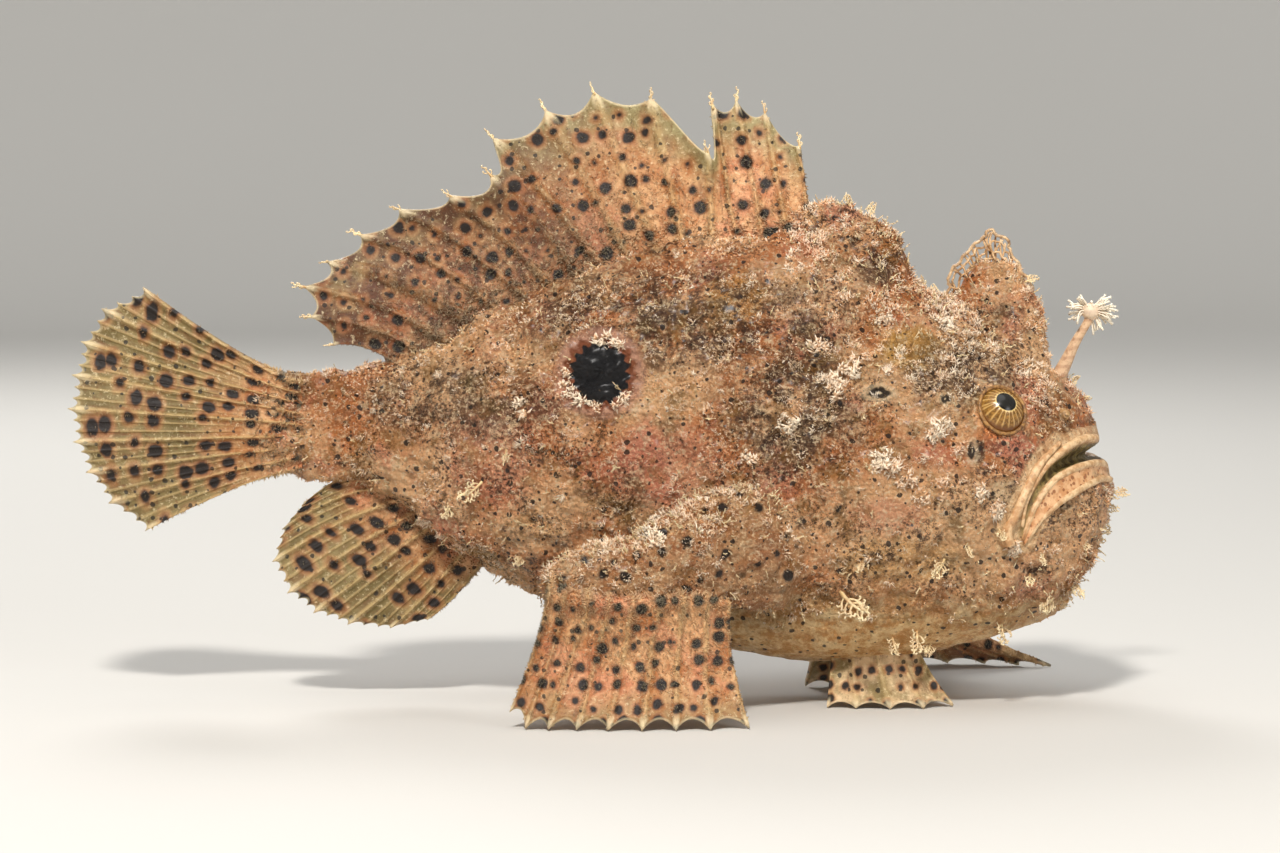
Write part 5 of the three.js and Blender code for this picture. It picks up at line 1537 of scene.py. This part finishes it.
def makeLure(material):
    # Threads: bulb + heading * length * share + a sine wave that grows along it, less a droop by the share squared
    plan = lurePlan
    rod = oneTube(plan["rod"], plan["rodRadii"], 50, 14)
    bulb = oneTube([np.array(plan["bulb"]) + [0, 0, dz] for dz in plan["bulbHeights"]], plan["bulbRadii"], 20, 18)
    parts, tips = [rod, bulb], [np.zeros(len(rod[0])), np.full(len(bulb[0]), 0.35)]
    t = np.linspace(0, 1, 8)[None, :, None]
    thin, swell = plan["threadRadius"]
    for centre, spread, count, length in plan["fans"]:
        a = np.radians(centre + spread * (chance.random(count) - 0.5))
        lean = chance.normal(size=count) * 0.35
        away = unit(np.stack([np.cos(a), lean, np.sin(a)], -1))[:, None]
        size = (length * (0.7 + 0.3 * chance.random(count)))[:, None, None]
        wave = chance.normal(size=(count, 1, 3)) * 0.35
        path = np.array(plan["bulb"]) + away * size * (0.15 + 0.85 * t)
        path = path + wave * np.sin(4 * t) * t + [0, 0, -0.7] * t * t
        radii = np.broadcast_to(thin + swell * smoothStep(0.8, 1.0, t[..., 0]), (count, t.size))
        parts.append(tubes(path, radii, plan["threadSides"]))
        along = np.concatenate([np.repeat(t[0, :, 0], plan["threadSides"]), [0, 1]])
        tips.append(np.tile(along * 0.5 + 0.5, count))
    points, faces = joinParts(parts)
    values = {"tip": np.concatenate(tips)}
    makePiece("frogfish_lure", points, faces, material, "pale_flesh", ["lure_rod", "lure"], values=values)


# Second spine's lacy web
lacePlan = {
    "outer": [
        (69.8, 80.4), (71.2, 85.2), (73.6, 88.8), (76.2, 91.4), (79.2, 93.4),
        (81.2, 92.2), (83.2, 89.4), (85.4, 85.6), (87.2, 81.6),
    ],
    "inner": [
        (73.0, 78.0), (75.0, 81.6), (76.6, 84.0), (78.2, 85.8), (80.0, 86.6),
        (81.0, 86.0), (81.8, 84.6), (83.0, 82.6), (84.6, 79.8),
    ],
    "cords": (0.0, 0.27, 0.5, 0.74),  # shares of the way in
    "strands": 26,
    "thick": 0.24,
}


def makeLace(material):
    # Cords run at shares of the way in from the outer edge, moved about by noise. Strands run straight from the outer
    # edge to the inner one, plus random sine waves, and leave holes between them.
    plan = lacePlan
    outer, inner = (np.array([(x, 0, z) for x, z in plan[key]]) for key in ("outer", "inner"))
    last, thick, count = len(outer) - 1, plan["thick"], plan["strands"]
    parts = []
    for share in plan["cords"]:
        fine = smoothAt(outer + (inner - outer) * share, np.linspace(0, last, 60))
        moves = ((9 * share, 1.3), (30 + 5 * share, 1.6), (60 - 9 * share, 1.3))
        fine = fine + 0.9 * np.stack([lumps(fine + by, size) for by, size in moves], -1)
        parts.append(tubes(fine[None], np.full((1, 60), thick * (1.35 if share == 0 else 1.0)), 7))
    at = np.linspace(0.1, last, count) + 0.12 * chance.normal(size=count)
    t = np.linspace(0, 1, 14)[None, :, None]
    start = smoothAt(outer, np.clip(at, 0, last))
    end = smoothAt(inner, np.clip(at + 0.55 * chance.normal(size=count), 0, last))
    run = start[:, None] + (end - start)[:, None] * t
    run = run + np.sin(2 * np.pi * t) * chance.normal(size=(count, 1, 3)) * 0.35
    run = run + np.sin(np.pi * t) * chance.normal(size=(count, 1, 3)) * 0.4
    parts.append(tubes(run, np.full((count, t.size), thick * 0.85), 6))
    points, faces = joinParts(parts)
    tip = 0.6 * smoothStep(1.5, 0.0, nearPath(points, smoothAt(outer, np.linspace(0, last, 60))))
    makePiece("frogfish_lace", points, faces, material, "skin", values={"tip": tip})


# Spinules: tiny forked spines all over the skin
spinulePlan = {
    "count": 38000,
    "perPiece": 24000,
    "length": (0.2, 0.75),
    "width": 0.28,
    "tufts": 2960,
    "tuftProngs": 7,
    "tuftLength": (0.7, 1.7),
    "rosettes": [  # x, z, radius, tufts
        (66.7, 55, 1.6, 40), (69.5, 56.5, 1.2, 18), (55.7, 50, 1.6, 40), (58.5, 48, 1.2, 20), (61, 45.5, 1.3, 18),
        (78.2, 40.2, 1.3, 26), (75.5, 43.5, 1.2, 14), (50.4, 67.5, 1.8, 26), (47, 64, 1.6, 20), (44, 72, 1.6, 18),
        (63, 42, 1.4, 14), (82.3, 32.2, 0.9, 18), (38, 57, 1.6, 20), (30, 50, 1.6, 16), (57, 77, 1.6, 18),
        (69, 75, 1.6, 20), (22, 41, 1.6, 20), (12, 36, 1.6, 18), (-14, 60, 1.6, 12),
    ],
    "rosetteLength": (1.0, 2.2),
    "ringTufts": 26,
    "ringRadius": 6.9,  # round the eye spot
    "spotRadius": 5.4,
    "cheek": (70, 33, 22, 12, 0.85),  # x, z, half width, half height, how much barer
    "shortBelow": (20, 12),  # heights between which spinules shorten to half
    "finLength": (0.25, 0.5),
}


unwrapPlan = {  # where each part's strip starts and how wide it is, across and up
    "body": (0.01, 0.76),
    "armAcross": (0.79, 0.09),
    "armGap": 0.1,
    "armUp": (0.02, 0.9),
    "spineAcross": (0.78, 0.2),
    "spineUp": (0.94, 0.05),
}


def bodyUnwrap(p, steps=60):
    # Across: place along the ribs over their number. Up: angle round the rib over a whole turn. Arms lie in strips of
    # their own beside the body, by their turn and place along, and the front spines lie above these.
    plan = unwrapPlan
    s, angle = placeOnBody(p[:, 0], p[:, 2])
    left = p[:, 1] > 0
    turn = np.where(left, np.pi - angle, angle)
    u = plan["body"][0] + plan["body"][1] * s / ribCount
    v = (turn / (2 * np.pi)) % 1.0
    out = np.abs(p[:, 1]) - flankAt(p[:, 0], p[:, 2])
    for k, key in enumerate(("right", "left")):
        stations = armPlan[key]
        path = smoothAt([q[0] for q in stations], np.linspace(0, len(stations) - 1, steps))
        onArm = (out > 1.2) & (p[:, 2] < 52) & (left == (key == "left"))
        if not onArm.any():
            continue
        q = p[onArm]
        nearest = np.linalg.norm(q[:, None] - path[None], axis=-1).argmin(1)
        local = q - path[nearest]
        around = np.arctan2(local[:, 2], -np.sign(path[nearest][:, 1]) * local[:, 1]) / (2 * np.pi) + 0.5
        u[onArm] = plan["armAcross"][0] + plan["armGap"] * k + plan["armAcross"][1] * around
        v[onArm] = plan["armUp"][0] + plan["armUp"][1] * nearest / steps
    high = (p[:, 2] > smoothAt(bodyPlan["backZ"], s) + 1.0) & (p[:, 0] > 40)
    u = np.where(high, plan["spineAcross"][0] + plan["spineAcross"][1] * (p[:, 0] - 40) / 60, u)
    v = np.where(high, plan["spineUp"][0] + plan["spineUp"][1] * np.clip((p[:, 1] + 10) / 20, 0, 1), v)
    return np.stack([u, np.clip(v, 0.003, 0.997)], -1)


def spinuleRoots(points, faces, weight, count):
    # Faces are drawn by weight. The place on each is the sum of its corners times random shares that add up to 1.
    corner = points[faces]
    picked = chance.choice(len(faces), count, p=weight / weight.sum())
    w = chance.dirichlet((1, 1, 1), count)
    normal = unit(faceCross(corner[picked]))
    return (corner[picked] * w[..., None]).sum(1), normal, picked


def makeSpinules(name, material, root, normal, length, uvRoot, kept, width=1.0, spread=0.4):
    # Each spinule is two pyramids on one root: a ring of three points, and an apex at root + lean * length * share plus
    # or minus aside * length * fork. Every eight corners share one small patch of the unwrap.
    count = len(root)
    lean = unit(normal + np.array([-0.3, 0, -0.1]) + spread * chance.normal(size=(count, 3)))
    lean = unit(lean + normal * np.maximum(0, 0.3 - (lean * normal).sum(1, keepdims=True)))
    aside = unit(np.cross(lean, chance.normal(size=(count, 3))))
    other = np.cross(lean, aside)
    length = length[:, None]
    width = spinulePlan["width"] * width * (0.6 + 0.5 * chance.random((count, 1))) * (0.5 + 0.6 * length)
    turn = np.array([0, 2.094, 4.189])
    ring = np.cos(turn)[None, :, None] * aside[:, None] + np.sin(turn)[None, :, None] * other[:, None]
    fork = 0.25 + 0.35 * chance.random((count, 1))
    prongs = []
    for side, share in ((-1, 1.0), (1, 0.75)):
        foot = root[:, None] - normal[:, None] * 0.15 + side * aside[:, None] * width[:, None] * 0.5
        base = foot + ring * width[:, None]
        apex = root + lean * length * share + side * aside * length * fork
        prongs.append(np.concatenate([base, apex[:, None]], axis=1))
    verts = np.concatenate(prongs, axis=1)
    verts[..., 2] = np.maximum(verts[..., 2], 0.03)
    one = np.array([(0, 1, 3), (1, 2, 3), (2, 0, 3), (0, 2, 1)])
    one = np.concatenate([one, one + 4])
    near = [(-0.9, -0.7), (0, 0.2), (-0.2, -0.9), (-0.9, 0.9)]
    patch = 0.0015 * np.array([*near, (0.9, -0.9), (0.2, 0.2), (0.1, -0.8), (0.9, 0.9)])
    for k, start in enumerate(range(0, count, spinulePlan["perPiece"])):
        part = slice(start, min(start + spinulePlan["perPiece"], count))
        n = part.stop - part.start
        f = (one[None] + (np.arange(n) * 8)[:, None, None]).reshape(-1, 3)
        p = verts[part].reshape(-1, 3)
        away = faceCross(p[f])
        middle = np.repeat(p.reshape(-1, 4, 3).mean(1), 4, axis=0)
        f = f if np.einsum("ij,ij->i", away, p[f].mean(1) - middle).sum() > 0 else f[:, ::-1]
        tip = np.tile([0.0, 0.0, 0.0, 1, 0.0, 0.0, 0.0, 1], n)
        values = {"tip": tip, **{key: np.repeat(numbers[part], 8) for key, numbers in kept.items()}}
        piece = makePiece(f"{name}_{k + 1}", p, f, material, "skin", smooth=False, values=values)
        bakeLayer(piece, f, (uvRoot[part][:, None] + patch[None]).reshape(-1, 2))


def coatSkin(material, points, faces, marks):
    # A face's weight is area times the square of 1 - bare, times clumps of noise, and little in the eye spot and on
    # the cheek. A length is low + (high - low) * random number to the power 1.6, shorter low on the body.
    corner = points[faces]
    area = np.linalg.norm(faceCross(corner), axis=1)
    middle = corner.mean(1)
    spot = np.hypot(middle[:, 0] - skinLook["eyeSpot"]["x"], middle[:, 2] - skinLook["eyeSpot"]["z"])
    clump = 0.05 + 1.2 * smoothStep(-0.05, 0.35, lumps(middle + 20, 6.5))
    clump = clump + 1.4 * smoothStep(0.05, 0.4, lumps(middle + 70, 2.6))
    x, z, wide, tall, barer = spinulePlan["cheek"]
    smoothCheek = np.exp(-(((middle[:, 0] - x) / wide) ** 2) - ((middle[:, 2] - z) / tall) ** 2)
    rough = np.clip(1 - marks["bare"][faces].mean(1), 0, 1)
    weight = area * rough**2 * clump * np.where(spot < spinulePlan["spotRadius"], 0.03, 1.0)
    weight = weight * (1 - barer * smoothCheek)
    thin = 1
    count = spinulePlan["count"] // thin
    root, normal, picked = spinuleRoots(points, faces, weight, count)
    low, high = spinulePlan["length"]
    length = low + (high - low) * chance.random(count) ** 1.6
    length = length * (1 - 0.5 * smoothStep(*spinulePlan["shortBelow"], root[:, 2]))
    arm = marks["arm"][faces].mean(1)
    kept = {"arm": arm[picked], "tint": chance.random(count)}
    makeSpinules("frogfish_spinules", material, root, normal, length, bodyUnwrap(root), kept)
    tuftSkin(material, points, faces, area, weight, middle, spot, arm, thin)


def tuftSkin(material, points, faces, area, weight, middle, spot, arm, thin):
    # A tuft is several long pale spinules on one root. Crests, the arms' tops and named rosettes hold more of them.
    up = unit(faceCross(points[faces]))[:, 2]
    crest = 3.5 * smoothStep(0.3, 0.8, up) * ((middle[:, 0] > 38) | (arm > 0.5))
    crest = crest + 1.5 * smoothStep(0.25, 0.6, lumps(middle + 40, 7))
    root, normal, picked = spinuleRoots(points, faces, weight * (0.35 + crest), spinulePlan["tufts"] // thin)
    rootCount = len(root)
    for x, z, radius, count in spinulePlan["rosettes"]:
        near = np.exp(-((middle[:, 0] - x) ** 2 + (middle[:, 2] - z) ** 2) / radius**2)
        more = spinuleRoots(points, faces, area * np.where(near > 0.2, near, 0), count // thin)
        root, normal, picked = (np.concatenate(pair) for pair in zip((root, normal, picked), more))
    ring = smoothStep(1.0, 0.2, np.abs(spot - spinulePlan["ringRadius"])) * (np.abs(middle[:, 1]) > 5)
    more = spinuleRoots(points, faces, weight * ring, 2 * spinulePlan["ringTufts"])
    root, normal, picked = (np.concatenate(pair) for pair in zip((root, normal, picked), more))
    prongs = spinulePlan["tuftProngs"]
    white = np.arange(len(root)) >= rootCount
    low, high = np.where(white[:, None], spinulePlan["rosetteLength"], spinulePlan["tuftLength"]).T
    size = low + (high - low) * chance.random(len(root)) ** 1.5
    length = np.repeat(size, prongs) * (0.5 + 0.5 * chance.random(len(root) * prongs))
    where, normal, arm, white = (np.repeat(a, prongs, axis=0) for a in (root, normal, arm[picked], white))
    uv = np.repeat(bodyUnwrap(root), prongs, axis=0)
    where = where + 0.3 * chance.normal(size=where.shape)
    tint = np.where(white, 1.0, np.repeat(0.66 + 0.34 * chance.random(len(root)), prongs))
    fat = np.where(white, 1.15, 0.7)[:, None]
    makeSpinules("frogfish_tufts", material, where, normal, length, uv, {"arm": arm, "tint": tint}, fat, 0.75)


def coatFin(material, piece, corner, count, reach):
    # The fleshy part of a fin carries spinules too. Its strip of the unwrap is its rays across and its height up.
    mesh = piece.data
    points = readAll(mesh.vertices, "co", 3) / mm - shift
    faces = readAll(mesh.loops, "vertex_index", 1, np.int32).reshape(-1, 3)
    kept = {key: readAll(mesh.attributes[key].data, "value", 1)[:, 0] for key in ("ray", "reach", "share")}
    share, ray = kept["share"], kept["ray"]
    at = share[faces].mean(1)
    toRay = np.abs(ray[faces].mean(1) - np.round(ray[faces].mean(1)))
    tri = points[faces]
    area = np.linalg.norm(faceCross(tri), axis=1)
    fleshy, onRay = smoothStep(reach + 0.25, reach - 0.2, at), smoothStep(0.2, 0.05, toRay)
    weight = area * (0.03 + fleshy + 0.5 * onRay * (at < 0.96))
    root, normal, picked = spinuleRoots(points, faces, weight, count // (1))
    n = len(root)
    low, more = spinulePlan["finLength"]
    length = (low + more * chance.random(n) ** 2) * (1 + 0.8 * smoothStep(0.4, 0.1, share[faces[picked, 0]]))
    uv = np.array(corner) + np.stack([0.18 * ray[faces[picked, 0]] / ray.max(), 0.05 * share[faces[picked, 0]]], -1)
    kept = {key: numbers[faces[picked, 0]] for key, numbers in kept.items()}
    makeSpinules(piece.name + "_spinules", material, root, normal, length, uv, kept, 0.85)


# The studio
studio = {
    "target": np.array([9.2, 0.0, 54.5]),
    "distance": 800.0,
    "elevation": 4.0,
    "frameWidth": 256.0,
    "floor": tone("CFCCC6"),
    "bowl": 1.7,
    "bend": 1.2,
    "glow": 0.22,
    "world": 0.28,
    "floorShade": tone("C9C5BD"),
    "sky": tone("E2E5E8"),
    "turns": 96,
    "lights": [  # name, place in metres, size, watts, colour
        ("key", (-0.1, -0.8, 0.9), 0.14, 14.0, (1, 0.97, 0.93)),
        ("fill", (0.9, -0.8, 0.3), 0.5, 2.8, (0.97, 0.98, 1)),
        ("rim", (-0.3, 0.9, 0.8), 0.5, 6.0, (1, 1, 1)),
        ("top", (0, 0, 2.6), 2.4, 20.0, (1, 1, 1)),
    ],
}


def makeCamera():
    # Target + away * distance. The lens is the sensor's width times distance over the width of the frame.
    tilt = np.radians(studio["elevation"])
    away = np.array([0, -np.cos(tilt), np.sin(tilt)])
    data = bpy.data.cameras.new("camera")
    data.sensor_width = 36.0
    data.lens = 36.0 * studio["distance"] / studio["frameWidth"]
    data.clip_start, data.clip_end = 0.05, 20
    camera = bpy.data.objects.new("camera", data)
    camera.location = (studio["target"] + shift + away * studio["distance"]) * mm
    camera.rotation_euler = (np.pi / 2 - tilt, 0, 0)
    bpy.context.scene.collection.objects.link(camera)
    bpy.context.scene.camera = camera


def makeLight(name, place, size, power, color):
    # A round lamp turned to face a point 50 mm above the floor's middle
    data = bpy.data.lights.new(name, "AREA")
    data.shape, data.size, data.energy, data.color = "DISK", size, power, color
    lamp = bpy.data.objects.new(name, data)
    lamp.location = place
    lamp.rotation_euler = (Vector((0, 0, 0.05)) - Vector(place)).to_track_quat("-Z", "Y").to_euler()
    bpy.context.scene.collection.objects.link(lamp)


def makeStudio():
    # The floor is flat to the bowl's radius and then curves up as a quarter circle, so it has no edge to see.
    turns = studio["turns"]
    turn = roundAngles(turns)
    rise = np.linspace(0, np.pi / 2, 24)
    radius = np.concatenate([[0.5, studio["bowl"]], studio["bowl"] + studio["bend"] * np.sin(rise[1:])])
    height = np.concatenate([[0, 0], studio["bend"] * (1 - np.cos(rise[1:]))])
    radius, height = np.concatenate([[0.001], radius]), np.concatenate([[0], height])
    x, y = radius[:, None] * np.cos(turn), radius[:, None] * np.sin(turn)
    rings = np.stack([x, y, np.broadcast_to(height[:, None], x.shape)], -1)
    i, j = np.meshgrid(np.arange(len(radius) - 1) * turns, np.arange(turns), indexing="ij")
    beside = (j + 1) % turns
    quads = np.stack([i + j, i + turns + j, i + turns + beside, i + beside], -1).reshape(-1, 4)
    mesh = bpy.data.meshes.new("floor")
    mesh.from_pydata(rings.reshape(-1, 3).tolist(), [], [*quads.tolist(), list(range(turns))])
    mesh.shade_smooth()
    floor = bpy.data.objects.new("floor", mesh)
    bpy.context.scene.collection.objects.link(floor)
    r = Recipe("studioFloor")
    coords = r.node("ShaderNodeTexCoord").outputs["Object"]
    color = r.blend(r.ease(r.noise(coords, 0.4, 2), 0.3, 0.7, 0, 0.12), studio["floor"], studio["floorShade"])
    away = r.length(coords)
    r.put(r.shader.inputs["Emission Color"], studio["floor"])
    r.put(r.shader.inputs["Emission Strength"], r.ease(away, 0.8, 2.3, 0, studio["glow"]))
    mesh.materials.append(r.finish(color, 0.85))
    world = bpy.data.worlds.new("studio")
    world.use_nodes = True
    sky = world.node_tree.nodes["Background"]
    sky.inputs["Color"].default_value, sky.inputs["Strength"].default_value = studio["sky"], studio["world"]
    bpy.context.scene.world = world
    for lamp in studio["lights"]:
        makeLight(*lamp)
    bpy.context.scene.view_settings.view_transform = "Standard"


makeCamera()
makeStudio()
print("studio ready")

skinFinish, frondFinish = skinMaterial(), frondMaterial()
skinPoints, skinFaces, marks = makeSkin(skinFinish)
makeLips(lipMaterial())
print("skin", len(skinFaces), "triangles")

finishes = {name: finMaterial(name, **look) for name, look in finFinishes.items()}
finPlans = [  # node, plan, finish
    ("tail_fin", tailPlan, "tailFin"),
    ("anal_fin", analPlan, "analFin"),
    ("dorsal_fin", dorsalPlan, "dorsalFin"),
    ("breast_fin_right", rightBreastPlan, "breastFin"),
    ("breast_fin_left", leftBreastPlan, "breastFin"),
    ("belly_fin_right", bellyPlan(-1, 0), "bellyFin"),
    ("belly_fin_left", bellyPlan(1, 3), "bellyFin"),
]
fins = {node: makeFin("frogfish_" + node, plan, finishes[look], [node]) for node, plan, look in finPlans}
print("fins ready")

eyeFinish = eyeMaterial()
for side in (-1, 1):
    makeEye(side, eyeFinish)
makeLure(lureMaterial())
makeLace(laceMaterial())
finTipCurls("frogfish_dorsal_curls", dorsalPlan, frondFinish, np.arange(len(dorsalTips)), 2.8)
makeFronds(frondFinish, skinPoints, skinFaces, marks)
print("eyes, lure and fronds ready")

coatSkin(spinuleMaterial(), skinPoints, skinFaces, marks)
finCoats = [  # fin, finish, corner of its strip in the unwrap, spinules, how far out they reach
    ("dorsal_fin", "dorsalFin", (0.79, 0.5), 20000, 0.6),
    ("breast_fin_right", "breastFin", (0.79, 0.6), 18000, 0.72),
    ("breast_fin_left", "breastFin", (0.79, 0.7), 8000, 0.6),
    ("anal_fin", "analFin", (0.79, 0.8), 3500, 0.25),
    ("tail_fin", "tailFin", (0.79, 0.86), 3500, 0.15),
]
for node, look, corner, count, reach in finCoats:
    coatFin(finishes[look], fins[node], corner, count, reach)
print("spinules ready")
